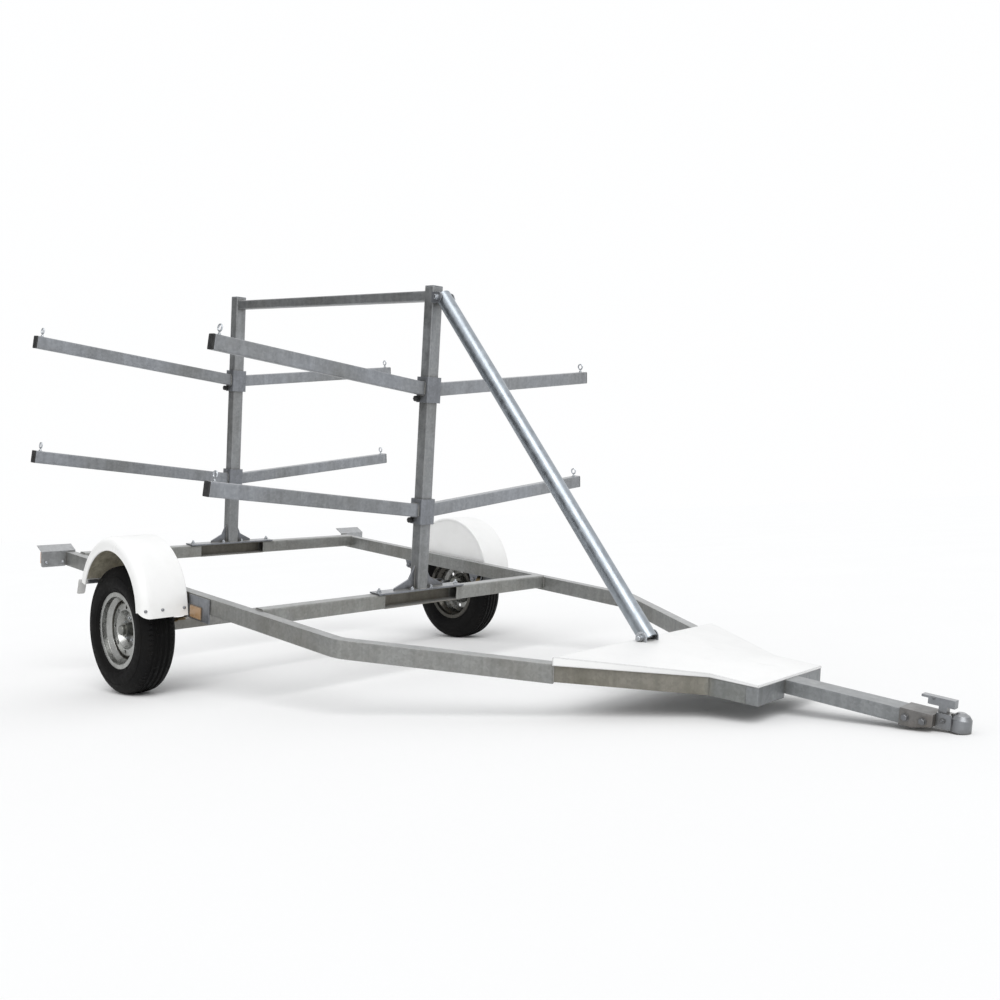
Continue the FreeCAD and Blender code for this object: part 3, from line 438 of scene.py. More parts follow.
# Uprights: square tube posts on plates bolted over the cross members, each stiffened by two
# cut gussets, and joined at the top by a square bar. Caps close the ends.
post_zinc = galvanised_finish("post_zinc", (0.305, 0.315, 0.325), (0.20, 0.20, 0.19),
                              patchiness=0.65, arris=0.006)
bracket_zinc = galvanised_finish("bracket_zinc", (0.245, 0.257, 0.28), (0.17, 0.175, 0.185),
                                 patchiness=0.55, gloss=0.38)
bright_zinc = galvanised_finish("bright_zinc", (0.62, 0.65, 0.69), (0.46, 0.49, 0.53),
                                gloss=0.26, metallic=0.9, arris=0.0008, spangle=0.08)
finish_nodes(post_zinc, "rear_upright", "front_upright", "top_bar")
finish_nodes(bracket_zinc, "upright_caps", "rear_foot_plate", "front_foot_plate")

plate_top = 0.239
plate_bolt_line = 0.254
gusset_bolt_line = 0.062
gusset_bolt_spread = 0.022
bm = bmesh.new()
for station in post_lines:
    for end in (1, -1):
        hex_bolt(bm, (station, end * plate_bolt_line, plate_top), (0, 0, 1), across=0.019,
                 thread=0.008)
        for bolt_x in (station - gusset_bolt_spread, station + gusset_bolt_spread):
            hex_bolt(bm, (bolt_x, end * gusset_bolt_line, plate_top), (0, 0, 1), across=0.016,
                     thread=0.005)
fit_piece(bm, "foot_bolts", "frame", "bright_zinc", bright_zinc, crease=40.0)

post_face = 0.0325
post_weld_reach = 0.0245
gusset_reaches = (0.134, 0.160)
gusset_half_sheet = 0.004
gusset_weld_start = 0.034
gusset_weld_rise = 0.113
bm = bmesh.new()
for station, reach in zip(post_lines, gusset_reaches):
    for face in (-post_face, post_face):
        weld_bead(bm, (station - post_weld_reach, face, plate_top),
                  (station + post_weld_reach, face, plate_top))
        weld_bead(bm, (station + face, -post_weld_reach, plate_top),
                  (station + face, post_weld_reach, plate_top))
    for side in (1, -1):
        for face_x in (station - gusset_half_sheet, station + gusset_half_sheet):
            weld_bead(bm, (face_x, side * gusset_weld_start, plate_top),
                      (face_x, side * reach, plate_top), radius=0.0026)
            weld_bead(bm, (face_x, side * post_face, plate_top),
                      (face_x, side * post_face, plate_top + gusset_weld_rise), radius=0.0026)
fit_piece(bm, "foot_welds", "frame", "plated_brackets", weld_zinc, crease=60.0)

# Collars: short lengths of heavier tube that slide on the posts over plastic packings and carry
# the arms. A screw with a lobed plastic knob clamps each side.
finish_nodes(bracket_zinc, "rear_collars", "front_collars")
black_plastic, skin = coated("black_plastic")
at = level_coordinates(black_plastic)
chalk = cloud(black_plastic, at, scale=30.0, detail=6.0, rough=0.7)
rounded, rubbed = arris_normal_and_mask(black_plastic, 0.002)
colour = blended(black_plastic, ranged(black_plastic, chalk, (0.4, 0.75), (0.0, 0.6)),
                 (0.018, 0.018, 0.019), (0.060, 0.060, 0.058))
colour = blended(black_plastic, times(black_plastic, rubbed, 0.5), colour, (0.11, 0.11, 0.105))
pits = cloud(black_plastic, at, scale=700.0, detail=2.0, rough=0.5)
dressed(black_plastic, skin, colour, ranged(black_plastic, chalk, (0.3, 0.7), (0.42, 0.7)),
        {"Strength": 0.2, "Distance": 0.0005, "Normal": rounded, "Height": pits})
finish_nodes(black_plastic, "collar_packings", "arm_end_caps")

arm_heights = (1.221, 0.624)
collar_face = 0.045
knob_setback = 0.024
knob_drop = 0.045
stud_radius = 0.005
stud_length = 0.005
knob_radius = 0.0138
knob_length = 0.018
knob_sides = 32
lobe_waist = 0.82
bm = bmesh.new()
for station in post_lines:
    for height in arm_heights:
        for side in (1, -1):
            stand = aimed((station - knob_setback, side * collar_face, height - knob_drop),
                          (0, side, 0))
            turned_bar(bm, stand, 14, stud_radius, stud_radius, 0.0, stud_length)
            knob = turned_bar(bm, stand, knob_sides, knob_radius, knob_radius, stud_length,
                              stud_length + knob_length)
            centre = stand.translation
            waists = [vert for vert in knob
                      if round(math.atan2(vert.co.z - centre.z, vert.co.x - centre.x)
                               / math.tau * knob_sides) % 4 == 2]
            bmesh.ops.scale(bm, verts=waists, vec=(lobe_waist, 1.0, lobe_waist),
                            space=Matrix.Translation(-centre))
            rims = [edge for vert in knob for edge in vert.link_edges
                    if abs(edge.verts[0].co.y - edge.verts[1].co.y) < 1e-5]
            eased(bm, list(dict.fromkeys(rims)), offset=0.0016, segments=2)
knobs = fit_piece(bm, "clamp_knobs", "frame", "black_plastic", black_plastic, crease=50.0)
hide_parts("collar_knobs")

# Arms: rectangular tube cantilevered both ways from each collar and sloping up to its tip. They
# are welded round their roots and closed by black plastic caps.
arm_zinc = galvanised_finish("arm_zinc", (0.325, 0.34, 0.365), (0.21, 0.212, 0.205),
                             patchiness=0.65, arris=0.005)
finish_nodes(arm_zinc, "rear_upper_arms", "rear_lower_arms", "front_upper_arms",
             "front_lower_arms")
arm_rise = 0.133
arm_half_length = 1.197
arm_slope = math.atan2(arm_rise, arm_half_length)
arm_half_width = 0.0225
arm_half_depth = 0.0325
root_half_depth = arm_half_depth / math.cos(arm_slope)
arm_weld_line = 0.0455
arm_weld_inset = 0.006
flat_reach = arm_half_width - arm_weld_inset
upright_reach = root_half_depth - arm_weld_inset
bm = bmesh.new()
for station in post_lines:
    for height in arm_heights:
        middle = height + collar_face * math.tan(arm_slope)
        for side in (1, -1):
            y = side * arm_weld_line
            for edge in (-1, 1):
                x, z = station + edge * arm_half_width, middle + edge * root_half_depth
                weld_bead(bm, (station - flat_reach, y, z), (station + flat_reach, y, z),
                          radius=0.0030)
                weld_bead(bm, (x, y, middle - upright_reach), (x, y, middle + upright_reach),
                          radius=0.0030)
fit_piece(bm, "arm_welds", "frame", "galvanised_steel", weld_zinc, crease=60.0)

# Tie-down eyes: forged rings on threaded stems, zinc plated. One stands near the tip of each arm
# and is drawn down on the arm's top by a nut and washer.
arm_cap = 0.005
eye_inboard = 0.028
eye_station = math.hypot(arm_half_length, arm_rise) - arm_cap - eye_inboard
stem_length = 0.016
ring_radius = 0.014
wire_radius = 0.0038
ring_centre = Matrix.Translation((0, 0, stem_length + ring_radius))
bm = bmesh.new()
for station in post_lines:
    for height in arm_heights:
        for side in (1, -1):
            arm_frame = (Matrix.Translation((station, 0, height))
                         @ Matrix.Diagonal((1, side, 1, 1)) @ Matrix.Rotation(arm_slope, 4, "X"))
            arm_top = arm_frame @ Matrix.Translation((0, eye_station, arm_half_depth))
            wire = bmesh.ops.create_circle(bm, segments=12, radius=wire_radius,
                                           matrix=Matrix.Translation((ring_radius, 0, 0)))["verts"]
            edges = list(dict.fromkeys(edge for vert in wire for edge in vert.link_edges))
            bmesh.ops.spin(bm, geom=wire + edges, cent=(0, 0, 0), axis=(0, 1, 0),
                           angle=math.tau, steps=30, use_merge=True)
            ring = [vert for vert in bm.verts if not vert.tag]
            bmesh.ops.transform(bm, matrix=arm_top @ ring_centre, verts=ring)
            turned_bar(bm, arm_top, 14, wire_radius, wire_radius, -0.001, stem_length + 0.001)
            hex_bolt(bm, arm_top.translation, arm_frame.to_3x3() @ Vector((0, 0, 1)), across=0.0125)
            for vert in bm.verts:
                vert.tag = True
bmesh.ops.recalc_face_normals(bm, faces=bm.faces)
eyes = fit_piece(bm, "eye_bolts", "frame", "bright_zinc", bright_zinc, crease=45.0)
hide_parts("tie_down_eyes")

# Brace: bright zinc-plated round tube from the head of the front post down to the deck, hung
# between two plate ears at each end on a pin with a nut.
brace_zinc = galvanised_finish("brace_zinc", (0.37, 0.405, 0.44), (0.275, 0.305, 0.34),
                               patchiness=0.5, gloss=0.33, metallic=0.92, arris=0.001,
                               spangle=0.05, top_light=0.2)
finish_nodes(brace_zinc, "brace")
finish_nodes(bracket_zinc, "brace_upper_clevis")
finish_nodes(bright_zinc, "brace_pins", "brace_foot_clevis")

head_pin = (0.897, 1.664)
foot_pin = (2.2058, 0.2692)
pin_end = 0.0524
foot_weld_rear = 2.180
foot_weld_front = 2.234
foot_weld_line = 0.0444
foot_weld_height = 0.256
head_weld_face = 0.8535
head_weld_foot = 1.638
head_weld_top = 1.690
bm = bmesh.new()
for x, z in (head_pin, foot_pin):
    hex_bolt(bm, (x, pin_end, z), (0, 1, 0), across=0.019, thread=0.006)
    hex_bolt(bm, (x, -pin_end, z), (0, -1, 0), across=0.019)
for side in (1, -1):
    weld_bead(bm, deck_level @ Vector((foot_weld_rear, side * foot_weld_line, foot_weld_height)),
              deck_level @ Vector((foot_weld_front, side * foot_weld_line, foot_weld_height)))
    weld_bead(bm, (head_weld_face, side * post_face, head_weld_foot),
              (head_weld_face, side * post_face, head_weld_top))
fit_piece(bm, "brace_nuts", "frame", "bright_zinc", bright_zinc, crease=40.0)

# Axle and springs: a square beam under two leaf packs with plated hangers; the leaves and the
# beam keep a brown film of road dirt over dark paint.
axle_finish = galvanised_finish("axle_finish", (0.30, 0.30, 0.29), (0.13, 0.115, 0.085),
                                patchiness=0.9, gloss=0.5)
spring_finish = galvanised_finish("spring_finish", (0.24, 0.17, 0.075), (0.12, 0.075, 0.035),
                                  patchiness=0.8, gloss=0.5, metallic=0.45, arris=0.0015,
                                  spangle=0.04)
finish_nodes(axle_finish, "axle_beam", "spring_pads")
finish_nodes(spring_finish, "leaf_springs")
finish_nodes(bracket_zinc, "spring_hangers", "u_bolts", "guard_stays")

spring_line = 0.946
u_bolt_reach = 0.032
u_bolt_leg = 0.026
u_bolt_seat = -0.033
spring_eye_reach = 0.290
spring_eye_height = 0.118
hanger_face = 0.030
spring_top = 0.054
bm = bmesh.new()
for side in (1, -1):
    middle = side * spring_line
    for x in (-u_bolt_reach, u_bolt_reach):
        for leg_y in (middle - u_bolt_leg, middle + u_bolt_leg):
            hex_bolt(bm, (x, leg_y, u_bolt_seat), (0, 0, -1), across=0.019)
    for x in (-spring_eye_reach, spring_eye_reach):
        for end in (1, -1):
            hex_bolt(bm, (x, middle + end * hanger_face, spring_eye_height), (0, end, 0),
                     across=0.017)
    hex_bolt(bm, (0.0, middle, spring_top), (0, 0, 1), across=0.013)
fit_piece(bm, "spring_nuts", "frame", "plated_brackets", bracket_zinc, crease=40.0)

# Hubs and rims: a cast hub with a pressed grease cap, and a galvanised steel rim with eight
# hand holes, held by five nuts. A rubber valve stands beside the disc.
hub_zinc = galvanised_finish("hub_zinc", (0.235, 0.24, 0.225), (0.13, 0.13, 0.11),
                             patchiness=0.7, gloss=0.30, metallic=0.9, arris=0.002,
                             spangle=0.04, top_light=0.1)
rim_zinc = galvanised_finish("rim_zinc", (0.385, 0.39, 0.38), (0.20, 0.20, 0.175),
                             patchiness=0.75, gloss=0.25, metallic=0.92, arris=0.003,
                             spangle=0.05, top_light=0.1)
# The barrel behind the disc is painted near black: a coat of brake dust and road dirt, with the
# shade behind the disc painted in.
outboard = node(rim_zinc, "ShaderNodeMath", {0: axis_part(rim_zinc, coordinates(rim_zinc), "Y")},
                operation="ABSOLUTE").outputs[0]
recoloured(rim_zinc, ranged(rim_zinc, outboard, (1.083, 1.076), (0.0, 0.9)),
           (0.045, 0.041, 0.034))
finish_nodes(hub_zinc, "hub_left", "hub_right")
finish_nodes(rim_zinc, "rim_left", "rim_right")

wheel_line = 1.089
disc_face = 1.086
stud_circle = 0.055
stud_count = 5
first_stud = 0.3
valve_foot = Vector((0.0, 1.098, 0.1335))
valve_lean = Vector((0.0, 1.0, 0.12))
valve_steps = ((0.0068, -0.004, 0.004), (0.0046, 0.004, 0.020), (0.0052, 0.020, 0.028))
valve_taper = 0.88
for name, side in (("left", 1), ("right", -1)):
    flip = Matrix.Diagonal((1, side, 1, 1))
    bm = bmesh.new()
    for stud in range(stud_count):
        turn = math.tau * stud / stud_count + first_stud
        hex_bolt(bm, (stud_circle * math.cos(turn), side * disc_face,
                      stud_circle * math.sin(turn)), (0, side, 0), across=0.019, thread=0.007)
    fit_piece(bm, "wheel_nuts_" + name, "wheel_" + name, "hub_steel", bright_zinc, crease=40.0)
    bm = bmesh.new()
    stand = aimed(flip @ valve_foot, flip @ valve_lean)
    for radius, low, high in valve_steps:
        turned_bar(bm, stand, 16, radius, radius * valve_taper, low, high)
    fit_piece(bm, "tyre_valve_" + name, "wheel_" + name, "black_plastic", black_plastic,
              crease=40.0)

# Tyres: radial road tyres with four grooves round the tread and cross cuts between them, raised
# bands on the sides and a round shoulder; dusty in the grooves, black on the sides.
tyre_rubber, skin = coated("tyre_rubber")
at = level_coordinates(tyre_rubber)
grit = cloud(tyre_rubber, at, scale=60.0, detail=6.0, rough=0.7)
haze = cloud(tyre_rubber, at, scale=6.0)
colour = blended(tyre_rubber, ranged(tyre_rubber, haze, (0.4, 0.75), (0.0, 0.8)),
                 (0.004, 0.004, 0.0042), (0.009, 0.0085, 0.008))
colour = blended(tyre_rubber, ranged(tyre_rubber, grit, (0.55, 0.8), (0.0, 0.5)),
                 colour, (0.024, 0.021, 0.018))
skin.inputs["Specular IOR Level"].default_value = 0.12
grain = cloud(tyre_rubber, at, scale=420.0, detail=3.0)
dressed(tyre_rubber, skin, colour, ranged(tyre_rubber, grit, (0.3, 0.7), (0.52, 0.85)),
        {"Strength": 0.25, "Distance": 0.0006, "Height": grain})

# Half of the tyre's cross section as radius and width, from the bead to the middle of the tread.
tyre_outline = (
    (0.1655, 0.0500), (0.1833, 0.0605), (0.1842, 0.0705), (0.1885, 0.0760), (0.1950, 0.0795),
    (0.1958, 0.0812), (0.2000, 0.0826), (0.2010, 0.0814), (0.2130, 0.0852), (0.2260, 0.0868),
    (0.2420, 0.0861), (0.2540, 0.0838), (0.2546, 0.0853), (0.2590, 0.0842), (0.2597, 0.0820),
    (0.2720, 0.0779), (0.2820, 0.0735), (0.2900, 0.0683), (0.2965, 0.0620), (0.3003, 0.0548),
    (0.3032, 0.0405), (0.3036, 0.0345), (0.3047, 0.0155), (0.3048, 0.0095))
tyre_steps = 400
tread_radius = 0.2950
groove_lines = (0.0375, 0.0125)
groove_half_width = 0.004
groove_depth_share = 0.976
cut_pitch = 5
shoulder_rib = 0.041
middle_rib = (0.016, 0.034)
for name, side in (("left", 1), ("right", -1)):
    bm = bmesh.new()
    outline = [bm.verts.new((radius, width, 0)) for radius, width in tyre_outline]
    outline += [bm.verts.new((radius, -width, 0)) for radius, width in reversed(tyre_outline)]
    loop = [bm.edges.new(pair) for pair in zip(outline, outline[1:] + outline[:1])]
    bmesh.ops.spin(bm, geom=outline + loop, cent=(0, 0, 0), axis=(0, 1, 0), angle=math.tau,
                   steps=tyre_steps, use_merge=True)
    cuts = []
    for face in bm.faces:
        spot = face.calc_center_median()
        if math.hypot(spot.x, spot.z) < tread_radius:
            continue
        width = abs(spot.y)
        step = math.floor(math.atan2(spot.z, spot.x) / math.tau * tyre_steps) % cut_pitch
        phase = 0 if spot.y > 0 else 2
        in_groove = any(abs(width - line) < groove_half_width for line in groove_lines)
        shoulder_cut = width > shoulder_rib and step == phase
        middle_cut = middle_rib[0] < width < middle_rib[1] and step == phase + 1
        if in_groove or shoulder_cut or middle_cut:
            cuts.append(face)
    sunk = bmesh.ops.extrude_face_region(bm, geom=cuts)["geom"]
    bmesh.ops.scale(bm, verts=[part for part in sunk if isinstance(part, bmesh.types.BMVert)],
                    vec=(groove_depth_share, 1.0, groove_depth_share))
    bmesh.ops.recalc_face_normals(bm, faces=bm.faces)
    bmesh.ops.translate(bm, verts=bm.verts, vec=(0, side * wheel_line, 0))
    tyre = fit_piece(bm, "road_tyre_" + name, "wheel_" + name, "tyre_rubber", tyre_rubber,
                     crease=28.0)
    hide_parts("tyre_" + name)

# Mudguards: vacuum-formed white plastic shells, rounded down to an outer lip and run out flat
# into a flap at the front. They are screwed to flat stays, and painted brown inside for road
# dirt and for the shade under the shell.
guard_white, skin = coated("guard_white")
at = level_coordinates(guard_white)
film = cloud(guard_white, at, scale=7.0, detail=6.0, rough=0.65)
splash = times(guard_white, ranged(guard_white, axis_part(guard_white, at, "Z"), (0.22, -0.02)),
               ranged(guard_white, film, (0.40, 0.68), (0.1, 0.8)))
colour = blended(guard_white, ranged(guard_white, film, (0.42, 0.72), (0.0, 0.5)),
                 (0.95, 0.95, 0.945), (0.88, 0.88, 0.87))
colour = blended(guard_white, splash, colour, (0.66, 0.64, 0.60))
orange_peel = cloud(guard_white, at, scale=180.0, detail=2.0, rough=0.5)
dressed(guard_white, skin, colour, ranged(guard_white, film, (0.3, 0.7), (0.26, 0.46)),
        {"Strength": 0.15, "Distance": 0.001, "Height": orange_peel})


def mud_cloud(material):
    return cloud(material, level_coordinates(material), scale=26.0, detail=8.0, rough=0.72)


# Inside faces: road dirt, darkened further as painted shade under the shell.
guard_dirt_and_shade, skin = coated("guard_dirt_and_shade")
mud = mud_cloud(guard_dirt_and_shade)
colour = blended(guard_dirt_and_shade, ranged(guard_dirt_and_shade, mud, (0.38, 0.66)),
                 (0.70, 0.66, 0.54), (0.38, 0.345, 0.26))
dressed(guard_dirt_and_shade, skin, colour, 0.85, {"Strength": 0.6, "Distance": 0.002, "Height": mud})

guard_crown = 0.330
guard_inner_reach = 0.106
guard_outer_reach = 0.120
guard_inner = wheel_line - guard_inner_reach
guard_edge = wheel_line + guard_outer_reach
guard_round = 0.044
guard_lip = 0.263
guard_wall = 0.003
guard_front_flap = 0.058
guard_corner = 0.040
guard_sweep = math.radians(-156.0)
guard_steps = 52
guard_lean = math.radians(-10.0)
guard_centre = (0.008, 0, 0.121)
guard_frame = Matrix.Translation(guard_centre) @ Matrix.Rotation(guard_lean, 4, "Y")


def shoulder_point(turn):
    # A spot on the shell's rounded shoulder, as radius and width.
    return (guard_crown - guard_round * (1 - math.cos(turn)) * 0.95,
            guard_edge - guard_round * (1 - math.sin(turn)))


# The shell's section as radius and width: turned in at the inner edge, flat over the crown,
# round over the shoulder and turned in again at the lip.
shoulder_steps = 8
guard_section = [
    (guard_crown - 0.012, guard_inner), (guard_crown - 0.004, guard_inner + 0.0008),
    (guard_crown, guard_inner + 0.005), (guard_crown, guard_edge - guard_round)]
guard_section += [shoulder_point(math.pi / 2 * step / shoulder_steps)
                  for step in range(1, shoulder_steps + 1)]
guard_section += [(guard_lip + 0.008, guard_edge), (guard_lip + 0.002, guard_edge - 0.0012),
                  (guard_lip, guard_edge - 0.0060)]
for name, side in (("left", 1), ("right", -1)):
    bm = bmesh.new()
    wire = [bm.verts.new((radius, width, 0)) for radius, width in guard_section]
    edges = [bm.edges.new(pair) for pair in zip(wire, wire[1:])]
    flap = bmesh.ops.extrude_edge_only(bm, edges=edges)["geom"]
    for vert in (part for part in flap if isinstance(part, bmesh.types.BMVert)):
        # The flap's lower outer corner is rounded off.
        round_off = min(1.0, max(0.0, 1.0 - (guard_edge - vert.co.y) / guard_corner))
        if vert.co.x < guard_crown - guard_round * 0.9:
            round_off = 1.0
        vert.co.z = guard_corner * 0.75 * (1 - math.sqrt(1 - round_off ** 2)) - guard_front_flap
    bmesh.ops.spin(bm, geom=wire + edges, cent=(0, 0, 0), axis=(0, 1, 0), angle=guard_sweep,
                   steps=guard_steps, use_merge=False)
    bmesh.ops.remove_doubles(bm, verts=bm.verts, dist=1e-5)
    bmesh.ops.recalc_face_normals(bm, faces=bm.faces)
    if sum(face.normal.dot(face.calc_center_median() * Vector((1, 0, 1)))
           for face in bm.faces) < 0:
        bmesh.ops.reverse_faces(bm, faces=bm.faces)
    walled = bmesh.ops.solidify(bm, geom=list(bm.faces), thickness=guard_wall)["geom"]
    for part in walled:
        if isinstance(part, bmesh.types.BMFace):
            part.material_index = 1
    bmesh.ops.transform(bm, matrix=Matrix.Diagonal((1, side, 1, 1)) @ guard_frame,
                        verts=bm.verts)
    if side < 0:
        bmesh.ops.reverse_faces(bm, faces=bm.faces)
    guard = fit_piece(bm, "guard_shell_" + name, "frame", "white_mudguard", guard_white,
                      guard_dirt_and_shade, crease=40.0)
    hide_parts("mudguard_" + name)

# Rear flaps: the shell ends in a flat strip across its width, and at the outer edge a tab hangs
# lower. They are cut from the same sheet, with rounded corners, and are held by a row of screws.
rear_strip_drop = 0.028
rear_tab_drop = 0.078
rear_tab_width = 0.040
rear_tab_line = guard_edge - rear_tab_width
rear_edge = guard_frame @ Matrix.Rotation(guard_sweep, 4, "Y")
bm = bmesh.new()
corners = [bm.verts.new((guard_crown, width, drop)) for width, drop in (
    (guard_inner, 0.0), (guard_edge, 0.0), (guard_edge, rear_tab_drop),
    (rear_tab_line, rear_tab_drop), (rear_tab_line, rear_strip_drop),
    (guard_inner, rear_strip_drop))]
bm.faces.new(corners)
eased(bm, [corners[2], corners[3], corners[5]], offset=0.009, segments=4, affect="VERTICES")
inner_face = bmesh.ops.extrude_face_region(bm, geom=list(bm.faces))["geom"]
bmesh.ops.translate(bm, verts=[part for part in inner_face if isinstance(part, bmesh.types.BMVert)],
                    vec=(-guard_wall, 0, 0))
bmesh.ops.transform(bm, matrix=rear_edge, verts=bm.verts)
bmesh.ops.mirror(bm, geom=bm.verts[:] + bm.edges[:] + bm.faces[:], axis="Y", merge_dist=-1.0)
bmesh.ops.recalc_face_normals(bm, faces=bm.faces)
fit_piece(bm, "guard_flaps", "frame", "white_mudguard", guard_white, crease=40.0)

screw_widths = (1.005, 1.112)
front_screw_drop = -0.022
rear_screw_drop = 0.014
shoulder_turn = math.radians(34.0)
screw_spots = [(edge, drop, (guard_crown, width), (1.0, 0.0))
               for edge, drop in ((guard_frame, front_screw_drop), (rear_edge, rear_screw_drop))
               for width in screw_widths]
screw_spots.append((guard_frame, front_screw_drop, shoulder_point(shoulder_turn),
                    (math.cos(shoulder_turn), math.sin(shoulder_turn))))
bm = bmesh.new()
for side in (1, -1):
    flip = Matrix.Diagonal((1, side, 1))
    for edge, drop, (radius, width), (outward, sideways) in screw_spots:
        spot = edge @ Vector((radius, width, drop))
        look = edge.to_3x3() @ Vector((outward, sideways, 0))
        pan_screw(bm, flip @ spot, flip @ look, radius=0.0075)
fit_piece(bm, "guard_screws", "frame", "plated_brackets", bracket_zinc, crease=50.0)

# Side panels: flat sheets that close the guards towards the trailer. The face towards the wheel
# is painted like the inside of the shell, with road dirt and painted shade.
panel_white, skin = coated("panel_white")
to_wheel = ranged(panel_white, times(
    panel_white, axis_part(panel_white, coordinates(panel_white), "Y"),
    axis_part(panel_white, coordinates(panel_white, "Normal"), "Y")), (0.2, 0.6))
film = cloud(panel_white, level_coordinates(panel_white), scale=7.0, detail=6.0, rough=0.65)
mud = mud_cloud(panel_white)
clean = blended(panel_white, ranged(panel_white, film, (0.42, 0.72), (0.0, 0.6)),
                (0.95, 0.95, 0.945), (0.86, 0.86, 0.85))
# The wheel side is painted darker khaki: mud, with painted shade.
muddy_and_shaded = blended(panel_white, ranged(panel_white, mud, (0.38, 0.66)),
                (0.46, 0.43, 0.34), (0.24, 0.22, 0.16))
dressed(panel_white, skin, blended(panel_white, to_wheel, clean, muddy_and_shaded),
        ranged(panel_white, film, (0.3, 0.7), (0.30, 0.55)),
        {"Strength": 0.2, "Distance": 0.001, "Height": mud})
finish_nodes(panel_white, "guard_side_panels")

# Rear lamps: folded zinc plates on the rail ends carry moulded lamps with red and amber lenses,
# under a hood that slopes up to the rear.
lamp_zinc = galvanised_finish("lamp_zinc", (0.43, 0.44, 0.45), (0.30, 0.305, 0.31),
                              patchiness=0.5, gloss=0.36, top_light=0.3)
finish_nodes(lamp_zinc, "lamp_brackets")


def moulded_lens(name, colour, dark):
    # Clear colour over upright flutes and small prisms, with road dust in them.
    material, skin = coated(name)
    at = level_coordinates(material)
    flutes = node(material, "ShaderNodeTexWave", {"Vector": at, "Scale": 55.0, "Distortion": 0.0},
                  bands_direction="Y").outputs["Fac"]
    prisms = node(material, "ShaderNodeTexVoronoi", {
        "Vector": at, "Scale": 260.0, "Randomness": 0.1}).outputs["Distance"]
    dust = cloud(material, at, scale=24.0, detail=5.0, rough=0.7)
    mixed = blended(material, ranged(material, flutes, (0.0, 1.0), (0.0, 0.55)), colour, dark)
    mixed = blended(material, ranged(material, prisms, (0.0, 0.6), (0.0, 0.5)), mixed, dark)
    mixed = blended(material, ranged(material, dust, (0.5, 0.8), (0.0, 0.4)), mixed,
                    (0.35, 0.31, 0.26))
    dressed(material, skin, mixed, ranged(material, dust, (0.3, 0.7), (0.12, 0.35)),
            {"Strength": 0.4, "Distance": 0.001, "Height": flutes})
    return material


red_lens = moulded_lens("red_lens", (0.42, 0.015, 0.012), (0.16, 0.004, 0.004))
amber_lens = moulded_lens("amber_lens", (0.72, 0.26, 0.03), (0.34, 0.10, 0.01))


def moulded_box(bm, low, high, rounding, material_index):
    # A box with its arrises rounded, drawn between two corners.
    low, high = Vector(low), Vector(high)
    size = high - low
    placed = Matrix.Translation((low + high) / 2) @ Matrix.Diagonal((*map(abs, size), 1))
    made = bmesh.ops.create_cube(bm, size=1.0, matrix=placed)["verts"]
    edges = list(dict.fromkeys(edge for vert in made for edge in vert.link_edges))
    rounds = eased(bm, edges, offset=rounding, segments=3)["faces"]
    faces = set(rounds)
    for face in rounds:
        for vert in face.verts:
            faces.update(vert.link_faces)
    for face in faces:
        face.material_index = material_index


plate_thickness = 0.004
lamp_depth = 0.046
plate_front = -1.004
lamp_front = plate_front - plate_thickness
lamp_rear = lamp_front - lamp_depth
body_rear = lamp_rear + 0.012
body_inner, body_outer = 0.983, 1.095
body_foot, body_top = 0.157, 0.227
lens_front = lamp_rear + 0.013
lens_foot, lens_top = 0.1595, 0.2245
lens_edges = ((0.9855, 1.056), (1.058, 1.0925))
lens_screw_widths = (1.000, 1.078)
lens_screw_height = 0.192
bm = bmesh.new()
for side in (1, -1):
    moulded_box(bm, (body_rear, side * body_inner, body_foot),
                (lamp_front, side * body_outer, body_top), rounding=0.004, material_index=0)
    for colour_index, (inner, outer) in enumerate(lens_edges, start=1):
        moulded_box(bm, (lamp_rear, side * inner, lens_foot), (lens_front, side * outer, lens_top),
                    rounding=0.003, material_index=colour_index)
    for width in lens_screw_widths:
        pan_screw(bm, (lamp_rear, side * width, lens_screw_height), (-1, 0, 0), radius=0.0032)
lamps = fit_piece(bm, "rear_lamps", "frame", "lamp_red", black_plastic, red_lens, amber_lens,
                  crease=40.0)
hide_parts("tail_lamps")

bracket_bolt_spots = ((0.990, 0.170), (1.080, 0.170), (0.946, 0.190))
bm = bmesh.new()
for side in (1, -1):
    for width, height in bracket_bolt_spots:
        hex_bolt(bm, (plate_front, side * width, height), (1, 0, 0), across=0.011)
fit_piece(bm, "bracket_bolts", "frame", "bright_zinc", bright_zinc, crease=40.0)

# Side reflectors: amber moulded lenses on a brown backing, faded by the sun, on the cheek plates
# ahead of the wheels.
cheek_face = 0.977
# The rear, foot, front and top of the backing, then of the lens, and where each starts and ends
# in front of the cheek plate.
reflector_layers = ((0.348, 0.112, 0.444, 0.172, 0.0, 0.005),
                    (0.350, 0.116, 0.442, 0.168, 0.0035, 0.008))
bm = bmesh.new()
for side in (1, -1):
    for layer, (rear, foot, front, top, start, end) in enumerate(reflector_layers):
        moulded_box(bm, (rear, side * (cheek_face + start), foot),
                    (front, side * (cheek_face + end), top), rounding=0.002, material_index=layer)
faded_amber = moulded_lens("faded_amber", (0.47, 0.30, 0.16), (0.32, 0.20, 0.11))
brown_backing = moulded_lens("brown_backing", (0.23, 0.165, 0.11), (0.15, 0.11, 0.075))
reflectors = fit_piece(bm, "side_lenses", "frame", "amber_reflector", brown_backing, faded_amber,
                       crease=40.0)
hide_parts("side_reflectors")

# The studio: a plain white floor, an even white surround, one large soft lamp high ahead of the
# trailer and to its right, and a dark screen off its right rear for the metal to mirror.
floor_white = bpy.data.materials.new("floor_white")
floor_white.use_nodes = True
floor_white.node_tree.nodes.clear()


def seen_directly(material):
    # 1 for the camera, for mirrors and for glass, and 0 for the light that falls on the trailer.
    path = node(material, "ShaderNodeLightPath")
    seen = path.outputs["Is Camera Ray"]
    for ray in ("Is Glossy Ray", "Is Transmission Ray"):
        seen = node(material, "ShaderNodeMath", {0: seen, 1: path.outputs[ray]},
                    operation="MAXIMUM").outputs[0]
    return seen


